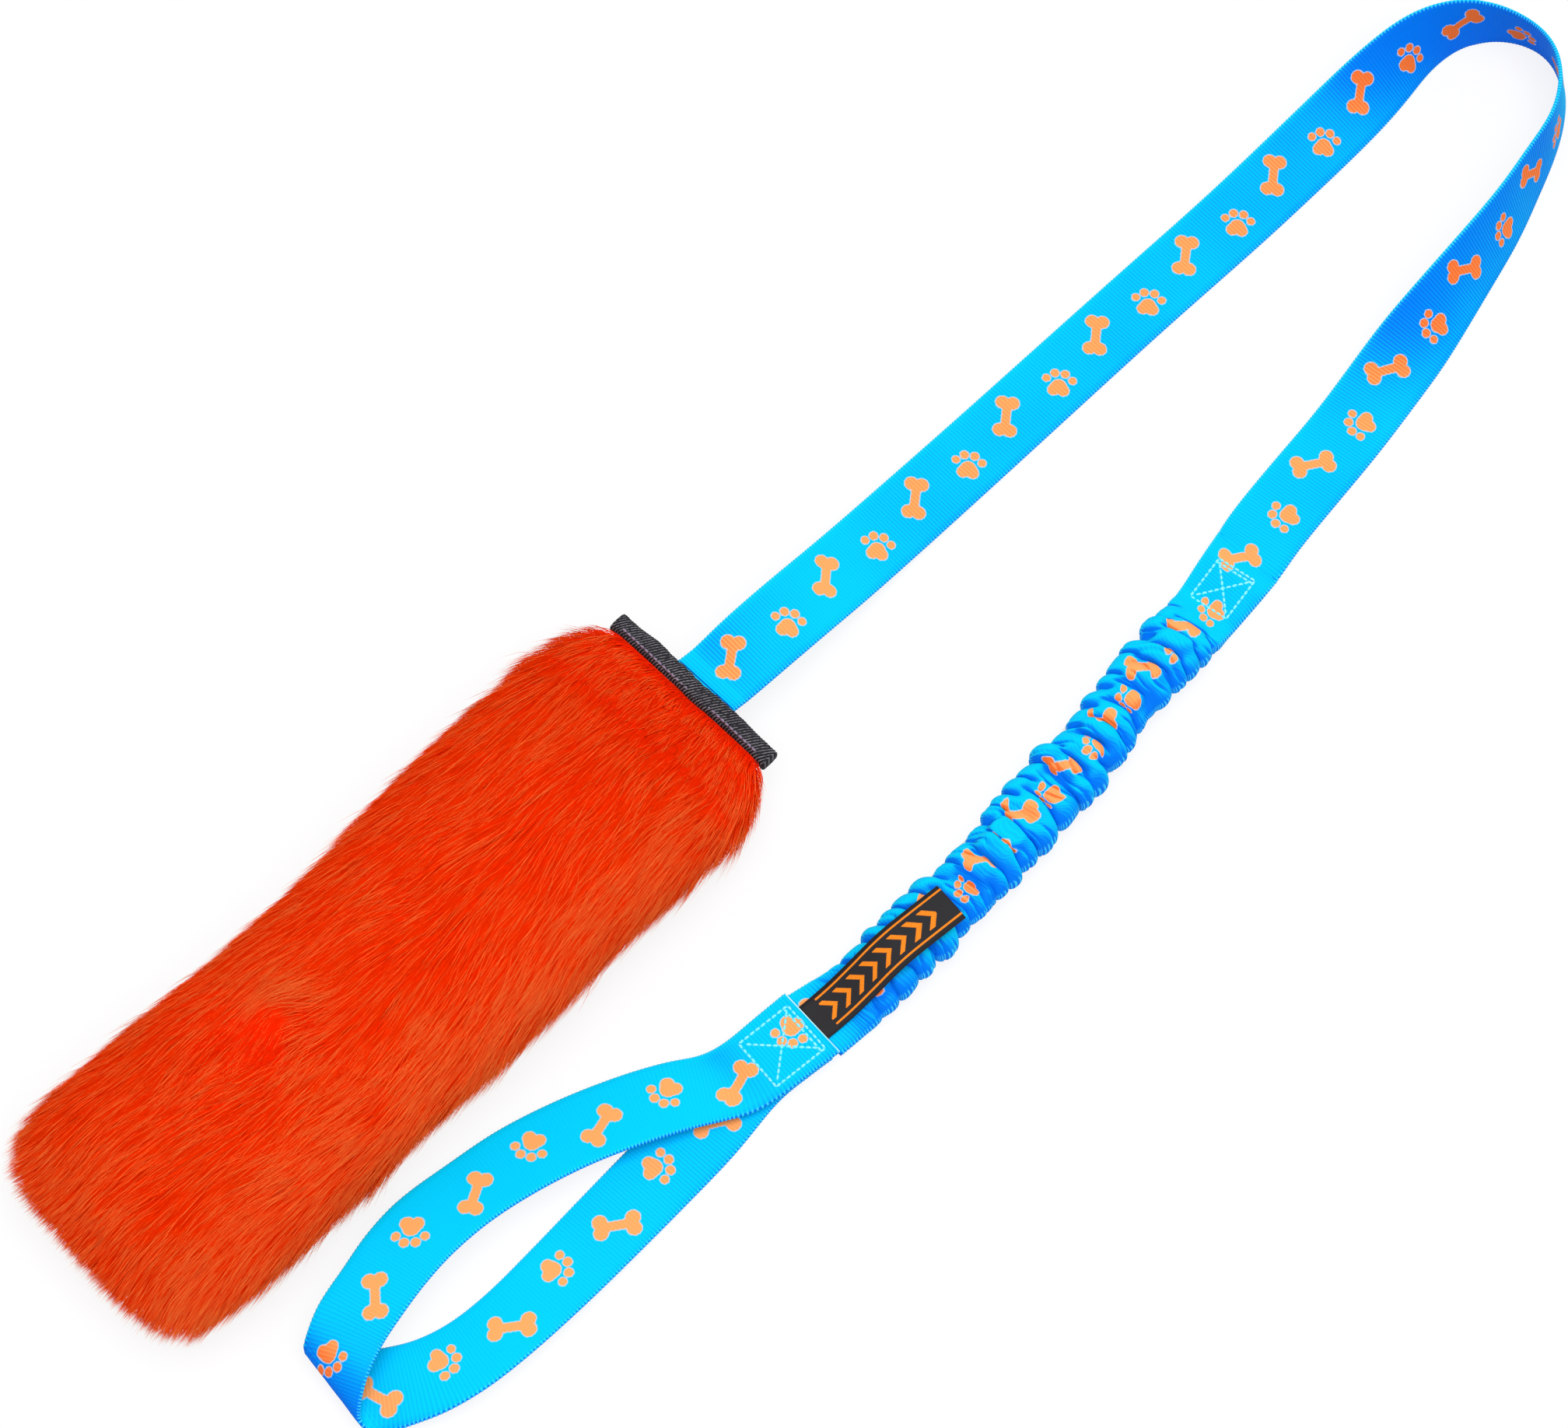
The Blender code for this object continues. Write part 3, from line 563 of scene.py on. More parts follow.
def make_webbing_material():
    """Blue ribbed webbing and orange print, with painted shade in creases and on faces towards -X and -Y.
    """
    made, tree, shader = new_material("printed_webbing", 0.65, 0.04)
    along, across = stored(tree, "along"), stored(tree, "across")
    rib = ripple(along, RIB_PITCH)
    fine = noise(tree, 900.0) - 0.5
    facing_x, facing_y, _ = axes_of(tree.nodes.new("ShaderNodeNewGeometry").outputs["Normal"])
    # Painted shade in creases, rib troughs and on faces towards -X and -Y; the noise is uneven dye.
    deep = stored(tree, "crease") * 0.95 + (noise(tree, 22.0) - 0.5) * 0.35 - rib * 0.08
    deep = deep - facing_x * 0.90 - facing_y * 0.70 + 0.26
    blue = mixed(ramp(deep, 0.0, 1.0), BLUE_LIT, BLUE_SHADED)
    dotted = ramp(abs(across), *PALE_EDGE) * ramp(rib, -0.2, 0.8)
    blue = mixed(dotted * 0.6, blue, BLUE_EDGE)

    distance = print_distance(along, across) + fine * 0.00035 + rib * 0.00006
    rim = ramp(distance, RIM_WIDTH, RIM_WIDTH / 4)
    ink = ramp(distance, RIM_WIDTH / 4, -RIM_WIDTH / 3)
    # The print gets the same painted shade.
    orange = mixed(ramp(deep, 0.1, 0.9), PRINT_ORANGE, PRINT_SHADED)
    colour = mixed(ink, mixed(rim * 0.85, blue, PRINT_RIM), orange)
    colour = mixed(ramp(stored(tree, "cut"), 0.35, 0.9), colour, MELTED_EDGE)
    relief = ripple(across, YARN_PITCH) * 0.25 + rib * 0.7 + fine * 0.5
    return finished(made, shader, colour, relief, 0.45, 0.00008)


def dress(piece, material, slot, *nodes):
    """Give a piece its material and hide the frame's nodes that it stands for; the slot is not used."""
    piece.data.materials.append(material)
    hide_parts(*nodes)


WEBBING_MATERIAL = make_webbing_material()
dress(lead, WEBBING_MATERIAL, "webbing_blue", "lead_strap")
print("nodes in the webbing's material:", len(WEBBING_MATERIAL.node_tree.nodes))

# %% [markdown]
# The hand loop is the same webbing, sewn back on itself. Its cut end lies on top, where it is sewn; from
# there the upper strand runs out, leans over, folds down at the far end and comes back below.
# A strap that leans and folds like this is easiest to set by its two edges, so the table has a place
# for the edge nearer the bolster and one for the other, in millimetres.

# %% Hand loop
LOOP_EDGES = [
    ((-1.8, -49.1, 4.6), (-3.4, -74.3, 4.6)),
    ((-14.0, -48.3, 4.6), (-14.0, -73.0, 4.6)),
    ((-25.6, -47.5, 4.5), (-24.9, -71.8, 4.5)),
    ((-33.5, -44.6, 2.7), (-36.0, -69.0, 4.2)),
    ((-42.5, -38.4, 1.7), (-51.5, -60.6, 5.6)),
    ((-55.5, -31.7, 1.6), (-66.0, -54.0, 7.4)),
    ((-73.0, -24.8, 2.3), (-81.0, -48.2, 8.9)),
    ((-92.0, -19.5, 3.5), (-97.5, -43.6, 10.2)),
    ((-110.0, -17.0, 4.7), (-113.5, -40.7, 11.0)),
    ((-127.5, -15.4, 6.5), (-128.0, -40.2, 11.8)),
    ((-141.5, -16.8, 8.0), (-140.0, -41.3, 12.0)),
    ((-154.0, -20.0, 9.2), (-151.0, -43.4, 12.2)),
    ((-165.5, -23.0, 10.0), (-161.5, -46.0, 12.0)),
    ((-173.3, -26.5, 9.2), (-171.5, -50.0, 10.8)),
    ((-177.4, -29.0, 6.0), (-179.5, -55.3, 6.4)),
    ((-175.5, -31.5, 2.6), (-180.0, -59.3, 3.0)),
    ((-169.0, -37.0, 1.1), (-177.0, -63.0, 2.4)),
    ((-161.0, -43.0, 0.9), (-170.0, -67.2, 4.0)),
    ((-152.0, -48.4, 0.9), (-160.0, -71.8, 5.4)),
    ((-141.0, -51.7, 0.9), (-147.0, -75.0, 6.0)),
    ((-127.0, -52.8, 0.9), (-131.0, -76.4, 5.6)),
    ((-109.0, -52.2, 0.9), (-111.0, -76.5, 3.8)),
    ((-90.0, -51.2, 0.9), (-91.0, -75.9, 2.2)),
    ((-70.0, -50.2, 0.8), (-70.0, -75.1, 1.2)),
    ((-48.0, -49.2, 0.8), (-47.5, -74.0, 0.8)),
    ((-28.0, -47.2, 0.8), (-27.0, -71.5, 0.8)),
    ((-15.0, -47.8, 0.8), (-14.0, -72.4, 0.8)),
    ((-4.2, -48.6, 0.8), (-5.4, -73.4, 0.8)),
]
GRIP_LOW, GRIP_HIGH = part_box("strap_end")
GRIP_Y = (GRIP_LOW.y + GRIP_HIGH.y) / 2
LOOP_PRINT_START = 1.014
loop_strap = strap_by_edges([Vector(a) / 1000 for a, _ in LOOP_EDGES],
                            [Vector(b) / 1000 for _, b in LOOP_EDGES])
loop = webbing("hand_loop_webbing", loop_strap, rows=4, start_along=LOOP_PRINT_START, melted=1.0)
dress(loop, WEBBING_MATERIAL, "webbing_blue", "handle_strap", "strap_end")
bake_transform(loop)

# %% [markdown]
# The bungee is the same tube, gathered over an elastic band. Gathered cloth makes round crests with
# narrow valleys between them, because the slack has nowhere else to go. A formula makes them: a crest is
# a root of a sine, and slow noise sets its place and its size. The left, the middle and the right of the
# tube each have their own row of crests, so folds fork and fade out where two rows don't agree. More
# cloth goes by in a valley than on a crest, and that breaks up the print.

# %% Gathered sleeve
SLEEVE_LOW, SLEEVE_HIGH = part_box("bungee_sleeve")
SLEEVE_LINE = [
    (-3.0, -61.9, 12.5),
    (4.0, -62.9, 12.0),
    (12.0, -64.2, 11.3),
    (22.0, -65.2, 10.5),
    (35.0, -64.8, 10.2),
    (50.0, -64.6, 10.1),
    (65.0, -64.2, 10.1),
    (80.0, -62.6, 10.1),
    (100.0, -61.0, 10.1),
    (120.0, -59.6, 10.1),
    (135.0, -57.2, 10.1),
    (150.0, -55.2, 10.1),
    (170.0, -53.6, 10.3),
    (182.0, -52.0, 10.9),
    (195.0, -49.9, 11.8),
    (207.0, -48.0, 12.5),
]
LABEL_LOW, LABEL_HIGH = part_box("label_tab")
LABEL_LENGTH = LABEL_HIGH.x - LABEL_LOW.x
LABEL_START = LABEL_LOW.x + 0.0003
LABEL_THICKNESS = 0.0005
LABEL_RISE = 0.0122
LABEL_SHARES = [
    (0.00, 0.00),
    (0.09, 0.01),
    (0.22, 0.15),
    (0.36, 0.44),
    (0.50, 0.78),
    (0.63, 0.95),
    (0.80, 1.00),
    (1.00, 1.02),
]
LABEL_CLEARANCE = 0.0004
GATHER_FROM = 0.004
GATHER_TO = 0.184
GATHER_FADES = (0.018, 0.172)
ROUND_FROM = (0.001, 0.033)
ROUND_TO = (0.164, 0.186)
THINS_FROM = 0.198
MIDDLE_PANEL = (0.30, 0.75)
VALLEY_PACE = 3.6
SMALL_FOLDS = 0.11
FINE_FOLDS = 0.24
FOLDS = (22, 22, 24)
FOLD_SEEDS = (4, 15, 9)
FOLD_HEIGHT = 0.0031
FOLD_LEAN = 0.0010
FOLD_SLANT = 0.0016
FOLD_BOW = 0.0021
ROUND_HALF_HEIGHT = 0.0052
ROUND_MIDDLE = 0.0067
FLAT_HALF_HEIGHT = 0.0018
END_OVERLAP = 0.0006
FLAT_ROOM = 0.00015
FLOOR_GAP = 0.0001
SLEEVE_RINGS = 980
SLEEVE_SIDES = 96


def waves(a, b, seed, octaves=3):
    """Smooth made-up noise of about plus or minus one over two coordinates."""
    chance = np.random.default_rng(seed)
    total = np.zeros(np.broadcast(a, b).shape)
    for octave in range(octaves):
        for _ in range(3):
            turn, phase = chance.uniform(0, 2 * math.pi, 2)
            rate = 2.0**octave * chance.uniform(0.7, 1.4)
            total += np.sin(rate * (a * math.cos(turn) + b * math.sin(turn)) + phase) / 2.0**octave
    return total / 3


def smoothstep(value, low, high):
    """0 below low, 1 above high, and smooth in between."""
    t = np.clip((value - low) / (high - low), 0, 1)
    return t * t * (3 - 2 * t)


def circle(sides):
    """The two coordinates of points once round a circle."""
    angle = np.arange(sides) * 2 * math.pi / sides
    return np.cos(angle), np.sin(angle)


def fold_row(share, side, folds, seed):
    """Height, crest and lean of one row of gathers; the crests are sharper at the tube's sides."""
    phase = 2 * math.pi * folds * share + 2.3 * waves(30 * share, 0.9 * side, seed, 2)
    bare = np.abs(np.sin(phase / 2))
    crest = bare ** (0.50 + 0.60 * np.abs(side) ** 4)
    size = 0.82 + 0.62 * waves(44 * share, 0.4 * side, seed + 1, 2)
    return np.stack([crest * size, bare**0.6, -np.sin(phase) * size])


def make_sleeve():
    """The gathered tube with its two flat ends, held down under the label."""
    x = np.linspace(SLEEVE_LOW.x, SLEEVE_HIGH.x + END_OVERLAP, SLEEVE_RINGS)
    line = curve_through(SLEEVE_LINE, 12) / 1000
    centre_y = np.interp(x, line[:, 0], line[:, 1])[:, None]
    half_width = np.interp(x, line[:, 0], line[:, 2])[:, None]
    gather = smoothstep(x, GATHER_FROM, GATHER_FADES[0]) * (1 - smoothstep(x, GATHER_FADES[1], GATHER_TO))
    rounded = smoothstep(x, *ROUND_FROM) * (1 - smoothstep(x, *ROUND_TO))
    gather, rounded = gather[:, None], rounded[:, None]
    power = 5.0 - 2.7 * rounded
    side, rise = (powered(value, 2 / power) for value in circle(SLEEVE_SIDES))
    flat_height = FLAT_HALF_HEIGHT - FLAT_ROOM
    thinning = smoothstep(x, THINS_FROM, SLEEVE_HIGH.x)[:, None]
    flat_height = flat_height + (WEBBING_THICKNESS / 2 - flat_height) * thinning
    half_height = flat_height + (ROUND_HALF_HEIGHT - FLAT_HALF_HEIGHT) * rounded

    bowed = x[:, None] + FOLD_SLANT * side + FOLD_BOW * (side**2 - 0.5)
    share = (bowed - GATHER_FROM) / (GATHER_TO - GATHER_FROM)
    outer = smoothstep(np.abs(side), *MIDDLE_PANEL)
    weights = (outer * (side < 0), 1 - outer, outer * (side >= 0))
    height, crest, lean = sum(
        weight * fold_row(share, side, folds, seed)
        for weight, folds, seed in zip(weights, FOLDS, FOLD_SEEDS)
    )
    small = SMALL_FOLDS * waves(150 * share, 3.0 * side + rise, 31, 2)
    finer = np.abs(np.sin(2.7 * math.pi * FOLDS[1] * share + 2.6 * waves(40 * share, 2.0 * side, 37, 2)))
    here_and_there = smoothstep(waves(60 * share, 2.4 * side, 39, 2), -0.3, 0.5)
    small = small - FINE_FOLDS * (1 - finer) ** 3 * here_and_there
    swell = gather * FOLD_HEIGHT * (height - 0.33 + small) * (0.40 + 0.60 * rounded)
    swell = swell * (1 - 0.22 * np.abs(side) ** 6)
    out_y, out_z = side * half_height**0.5, rise * half_width**0.5
    out = np.hypot(out_y, out_z) + 1e-9

    pace = 1 + gather * (0.15 + VALLEY_PACE * (1 - crest))
    along = np.cumsum(pace, axis=0) * (x[1] - x[0])
    along = along * along[-1].mean() / along[-1]
    wave = np.cos(2 * math.pi * along / RIB_PITCH)
    edge = powered(side, 14) * (1 - gather) * SCALLOP * wave
    y = side * half_width + swell * out_y / out + edge
    z = rise * (half_height + RIB_HEIGHT * wave) + swell * out_z / out
    z = z + FLAT_HALF_HEIGHT + (ROUND_MIDDLE - FLAT_HALF_HEIGHT) * rounded
    label_x = [LABEL_START + 0.0002 + LABEL_LENGTH * a for a, _ in LABEL_SHARES]
    label_z = [GRIP_LOW.z + LABEL_RISE * r - LABEL_CLEARANCE for _, r in LABEL_SHARES]
    ceiling = np.minimum(np.interp(x, label_x, label_z, right=1), SLEEVE_HIGH.z)[:, None]
    x_out = x[:, None] + gather * FOLD_LEAN * lean
    rings = np.stack([x_out, centre_y + y, np.clip(z, FLOOR_GAP, ceiling)], -1)
    # Painted shade: the blue deepens in the valleys, on the lower folds and in the fine creases.
    crease = 1 - smoothstep(crest, 0.20, 0.95) + 0.22 * (0.9 - height) - 0.9 * np.minimum(small, 0)
    from_lead = LEAD_PRINT_START + lead_strap[3][-1] + along[-1] - along
    piece = skin("bungee_gathers", rings, rows=2, along=from_lead,
                 across=side * WEBBING_WIDTH / 2, crease=gather * crease, cut=0.0)
    return turned_outward(piece)


sleeve = make_sleeve()
dress(sleeve, WEBBING_MATERIAL, "webbing_blue", "bungee_sleeve")
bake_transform(sleeve)
print("sleeve folds:", FOLDS, "faces:", len(sleeve.data.polygons))

# %% [markdown]
# The grip is where everything is sewn together. Between the cut end on top and the strand that comes
# back below lies the tube's own flat end, with the elastic inside, so it is twice as thick.

# %% Grip layers
UNDER_BOTTOM = 0.0015
UNDER_THICKNESS = GRIP_LOW.z - UNDER_BOTTOM
UNDER_PRINT_START = 0.62
UNDER_EDGES = [
    ((-2.4, -49.0), (-4.0, -73.7)),
    ((-14.0, -48.2), (-14.0, -72.5)),
    ((-25.4, -47.4), (-24.8, -71.4)),
]
under_z = UNDER_BOTTOM + UNDER_THICKNESS / 2
under_strap = strap_by_edges(*[[Vector((x / 1000, y / 1000, under_z)) for x, y in edge]
                               for edge in zip(*UNDER_EDGES)])
grip_under = webbing("grip_webbing_under", under_strap, rows=1, start_along=UNDER_PRINT_START,
                     thickness=UNDER_THICKNESS)
dress(grip_under, WEBBING_MATERIAL, "webbing_blue", "grip_base")
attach(grip_under, "grip")

# %% [markdown]
# Stitches are short beads of thread, each dipping into the cloth at both ends. A row of them is made by
# walking along a line and setting a small spindle at every step. A boxed cross has one row along each
# side, one row on each diagonal and a second row just inside one end.

# %% Stitches
STITCH = 0.0020
THREAD_RADIUS = 0.00040
SPINDLE_SIDES = 6
SPINDLE = [(0.04, 0.35), (0.22, 0.95), (0.5, 1.12), (0.78, 0.95), (0.96, 0.35)]
THREAD_SINKS = 1.3
INNER_ROW = 0.84
UP = (0, 0, 1)


def thread_rows(name, lines, body, material, slot, *nodes):
    """Spindles along straight lines; each line is a start, an end and the side that is up."""
    points, faces = [], []
    for start, end, up in lines:
        start, end, up = Vector(start), Vector(end), Vector(up)
        count = max(1, round((end - start).length / STITCH))
        run = (end - start) / count
        side = up.cross(run).normalized()
        for number in range(count):
            base = len(points)
            for t, size in SPINDLE:
                middle = start + run * (number + t) - up * THREAD_RADIUS * (THREAD_SINKS - size)
                points += [middle + (side * c + up * s) * THREAD_RADIUS * size
                           for c, s in zip(*circle(SPINDLE_SIDES))]
            for ring in range(len(SPINDLE) - 1):
                for k in range(SPINDLE_SIDES):
                    a = base + ring * SPINDLE_SIDES + k
                    b = base + ring * SPINDLE_SIDES + (k + 1) % SPINDLE_SIDES
                    faces.append((a, b, b + SPINDLE_SIDES, a + SPINDLE_SIDES))
            faces.append(tuple(range(base + SPINDLE_SIDES - 1, base - 1, -1)))
            faces.append(tuple(range(len(points) - SPINDLE_SIDES, len(points))))
    mesh = bpy.data.meshes.new(name)
    mesh.from_pydata(points, [], faces)
    mesh.shade_smooth()
    piece = placed(name, mesh)
    dress(piece, material, slot, *nodes)
    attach(piece, body)
    print(name, "has", len(points) // (len(SPINDLE) * SPINDLE_SIDES), "stitches")


def boxed_cross(centre, angle, length, width):
    """The rows of a boxed cross about a centre: an outline, two diagonals and a row inside one end."""
    ahead = Vector((math.cos(angle), math.sin(angle), 0)) * length / 2
    left = Vector((-math.sin(angle), math.cos(angle), 0)) * width / 2
    outline = [(-1, -1), (1, -1), (1, 1), (-1, 1)]
    rows = [*zip(outline, outline[1:] + outline[:1])]
    rows += [((-INNER_ROW, -INNER_ROW), (INNER_ROW, INNER_ROW)),
             ((INNER_ROW, -INNER_ROW), (-INNER_ROW, INNER_ROW)),
             ((INNER_ROW, -1), (INNER_ROW, 1))]
    return [(centre + ahead * a + left * b, centre + ahead * c + left * d, UP)
            for (a, b), (c, d) in rows]


# %% [markdown]
# Sewing thread is twisted and a little glossy, so it sparkles on the matt cloth. A fine diagonal bump
# gives the twist.

# %% Thread
TURQUOISE = ((0.36, 0.95, 1.0, 1), (0.06, 0.70, 0.98, 1))
VIOLET = ((0.30, 0.24, 0.34, 1), (0.10, 0.07, 0.13, 1))
GRIP_BOX = Vector((-0.0145, -0.0607, GRIP_HIGH.z + 0.0001))
GRIP_BOX_TURN = math.radians(-5.2)
GRIP_BOX_SIZE = (0.0190, 0.0176)
SLEEVE_BOX_TURN = math.radians(9)
SLEEVE_BOX_SIZE = (0.0165, 0.0135)


def make_thread_material(name, colour, shade):
    """Twisted thread, lighter and darker in turn."""
    made, tree, shader = new_material(name, 0.38, 0.5)
    node = tree.nodes.new("ShaderNodeTexWave")
    node.inputs["Scale"].default_value = 520.0
    node.inputs["Distortion"].default_value = 1.5
    node.bands_direction = "DIAGONAL"
    put(node.inputs["Vector"], tree.nodes.new("ShaderNodeTexCoord").outputs["Object"])
    twist = Number(node.outputs[1])
    light = (twist + noise(tree, 300.0)) * 0.5
    return finished(made, shader, mixed(light, shade, colour), twist, 0.5, 0.0001)


turquoise_thread = make_thread_material("turquoise_thread", *TURQUOISE)
violet_thread = make_thread_material("violet_thread", *VIOLET)
thread_rows("grip_stitches", boxed_cross(GRIP_BOX, GRIP_BOX_TURN, *GRIP_BOX_SIZE), "grip",
            turquoise_thread, "thread_turquoise", "grip_thread_top")
sleeve_box = sum(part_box("sleeve_thread_top"), Vector()) / 2
sleeve_box.z = 2 * FLAT_HALF_HEIGHT
thread_rows("bungee_stitches", boxed_cross(sleeve_box, SLEEVE_BOX_TURN, *SLEEVE_BOX_SIZE), "lead",
            turquoise_thread, "thread_turquoise", "sleeve_thread_top")

# %% [markdown]
# The label is a narrow satin ribbon. It leaves the cut edge flat, climbs over the first folds and ends
# in the air. Its woven device is a plain row of chevrons between two lines, with the small steps that a
# loom makes, since each pick of weft is either orange or black.

# %% Woven label
LABEL_WIDTH = 0.0133
LABEL_DRIFT = -0.0054
LABEL_CROWN = 0.0004
PICK = 0.00032
TWILL_PITCH = 0.00045
CHEVRON_PITCH = 0.0058
CHEVRON_HALF_WIDTH = 0.0010
CHEVRON_REACH = 0.0034
LINE_PLACE = 0.0050
DEVICE_START = 0.0050
DEVICE_END = LABEL_LENGTH - 0.0035
LABEL_BLACK = (0.012, 0.011, 0.013, 1)
LABEL_GREY = (0.030, 0.029, 0.032, 1)
LABEL_ORANGE = (0.92, 0.27, 0.012, 1)
LABEL_RUST = (0.55, 0.10, 0.006, 1)


def make_label():
    """The ribbon, with a soft crown across its width; it sets off straight and then drifts aside."""
    rows = [(LABEL_START + LABEL_LENGTH * a, GRIP_Y + LABEL_DRIFT * (a - 0.03 * (1 - math.exp(-a / 0.06))),
             GRIP_LOW.z + LABEL_RISE * r) for a, r in LABEL_SHARES]
    line = eased(curve_through(rows, 20), 12)
    line[:, 2] += LABEL_THICKNESS / 2
    tangent = unit(np.gradient(line, axis=0))
    left = unit(np.column_stack([-tangent[:, 1], tangent[:, 0], np.zeros(len(line))]))
    up = np.cross(tangent, left)
    metres = metres_along(line)
    flat = np.linspace(-1, 1, 9)
    across, face = np.concatenate([flat, -flat]), np.repeat([1, -1], 9)
    crown = LABEL_CROWN * (1 - across**2) * smoothstep(metres, 0.004, 0.02)[:, None]
    rings = (line[:, None] + left[:, None] * (across * LABEL_WIDTH / 2)[None, :, None]
             + up[:, None] * (face * LABEL_THICKNESS / 2 + crown)[..., None])
    return turned_outward(skin("woven_label", rings, 1, along=metres[:, None],
                               across=across * LABEL_WIDTH / 2))


def make_label_material():
    """Black satin weave with orange chevrons between two lines."""
    made, tree, shader = new_material("woven_satin", 0.6, 0.12)
    along, across = stored(tree, "along").math("SNAP", PICK), abs(stored(tree, "across").math("SNAP", PICK))
    from_chevron = abs((along + across).math("MODULO", CHEVRON_PITCH) - CHEVRON_PITCH / 2)
    chevron = from_chevron.math("LESS_THAN", CHEVRON_HALF_WIDTH) * across.math("LESS_THAN", CHEVRON_REACH)
    chevron = chevron * along.math("LESS_THAN", DEVICE_END)
    line = abs(across - LINE_PLACE).math("LESS_THAN", PICK)
    device = chevron.math("MAXIMUM", line) * along.math("GREATER_THAN", DEVICE_START)
    twill = ripple(stored(tree, "across") * 0.6 + stored(tree, "along"), TWILL_PITCH)
    ground = mixed(twill * 0.3 + 0.4, LABEL_BLACK, LABEL_GREY)
    orange = mixed(noise(tree, 1800.0, 1.0) * 0.5, LABEL_ORANGE, LABEL_RUST)
    return finished(made, shader, mixed(device, ground, orange), twill + device * 1.2, 0.4, 0.00008)


label = make_label()
dress(label, make_label_material(), "label_black", "label_tab")
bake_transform(label)
print("label:", round(LABEL_LENGTH * 1000, 1), "mm long")

# %% [markdown]
# Grosgrain tape binds the mouth. It is folded over the rim, so from outside it is a ribbed bar with a
# rounded front and two folded ends. Hand feeding makes it waver a little, and the pull of the stitches
# leans its ribs over.

# %% Binding tape
TAPE_LOW, TAPE_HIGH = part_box("binding_tape")
MOUTH_Y = (TAPE_LOW.y + TAPE_HIGH.y) / 2
MOUTH_Z = (TAPE_LOW.z + TAPE_HIGH.z) / 2
TAPE_RIB = 0.00105
TAPE_RIB_HEIGHT = 0.00010
TAPE_SLANT = 0.60
TAPE_SIDES = 48
TAPE_ROOM = 0.0002
TAPE_WAVER = 0.0004
TAPE_PINCH = 0.0003
TAPE_DROOP = 0.0006
TAPE_DARK = ((0.008, 0.008, 0.010, 1), (0.020, 0.019, 0.024, 1))
TAPE_FLECK_HIGHLIGHT = ((0.10, 0.095, 0.105, 1), (0.30, 0.29, 0.31, 1))
SEAM_INSET = 0.0013
SEAM_SLANT = 0.0003
SEAM_MARGIN = 0.004


def make_tape():
    """The folded tape as one flat closed tube along Y, with slanting ribs across it."""
    width = TAPE_HIGH.y - TAPE_LOW.y
    count = round(width / (TAPE_RIB / 4)) + 1
    y = np.linspace(TAPE_LOW.y, TAPE_HIGH.y, count)[:, None]
    share = (y - MOUTH_Y) / (width / 2)
    depth = TAPE_HIGH.x - TAPE_LOW.x
    half_height = (TAPE_HIGH.z - TAPE_LOW.z) / 2
    c, s = circle(TAPE_SIDES)
    side, rise = powered(c, 0.55), powered(s, 0.62)
    ribbed = y + TAPE_SLANT * side * depth / 2
    wave = TAPE_RIB_HEIGHT * np.cos(2 * math.pi * ribbed / TAPE_RIB)
    thin = 1 - 0.30 * np.abs(share) ** 6
    waver = TAPE_WAVER * waves(9 * share, 0 * share, 41, 2)
    pinch = TAPE_PINCH * waves(21 * share, 2 * side, 43, 2)
    droop = -TAPE_DROOP * share**2 + TAPE_WAVER * waves(7 * share, 0 * share, 44, 2)
    x = (TAPE_LOW.x + TAPE_HIGH.x) / 2 - TAPE_ROOM + waver + side * (depth / 2 - TAPE_ROOM + pinch + wave)
    z = MOUTH_Z + droop + rise * (half_height * thin * 0.93 + pinch + wave)
    rings = np.stack([x, np.broadcast_to(y, x.shape), z], -1)
    return turned_outward(skin("mouth_tape", rings, 1, along=ribbed, across=side[None] * depth / 2))


def make_tape_material():
    """Near-black grosgrain with pale flecks on its rib crests: partly yarn, partly painted highlight."""
    made, tree, shader = new_material("grosgrain", 0.8, 0.12)
    rib = ripple(stored(tree, "along"), TAPE_RIB)
    speck = noise(tree, 1300.0)
    # Pale flecks on the rib crests: partly pale yarn, partly a painted highlight on the ridges.
    fleck_highlight = ramp(rib, 0.1, 1.0) * ramp(speck, 0.30, 0.60)
    colour = mixed(fleck_highlight, mixed(noise(tree, 60.0), *TAPE_DARK), mixed(noise(tree, 90.0), *TAPE_FLECK_HIGHLIGHT))
    return finished(made, shader, colour, rib + speck, 0.6, 0.00012)


tape = make_tape()
dress(tape, make_tape_material(), "tape_charcoal", "binding_tape")
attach(tape, "toy")

seam_x = TAPE_LOW.x + SEAM_INSET
seam_rows = []
for up in (1, -1):
    seam_z = MOUTH_Z + up * (TAPE_HIGH.z - TAPE_LOW.z) / 2 * 0.90
    for start, end in ((TAPE_LOW.y + SEAM_MARGIN, MOUTH_Y), (MOUTH_Y, TAPE_HIGH.y - SEAM_MARGIN)):
        seam_rows.append(((seam_x, start, seam_z), (seam_x + SEAM_SLANT, end, seam_z), (0, 0, up)))
thread_rows("mouth_stitches", seam_rows, "toy", violet_thread, "thread_violet", "tape_thread_top",
            "tape_thread_under")
print("tape:", round((TAPE_HIGH.y - TAPE_LOW.y) * 1000, 1), "mm wide")

# %% [markdown]
# The fur needs a body to grow on. The bolster is a slack stuffed tube: it starts flat at the mouth,
# swells, keeps an even girth and closes round at the tail. The tables of shares follow the frame's
# cover, whose outside is the top of the pile, so the skin lies a pile's depth inside it.

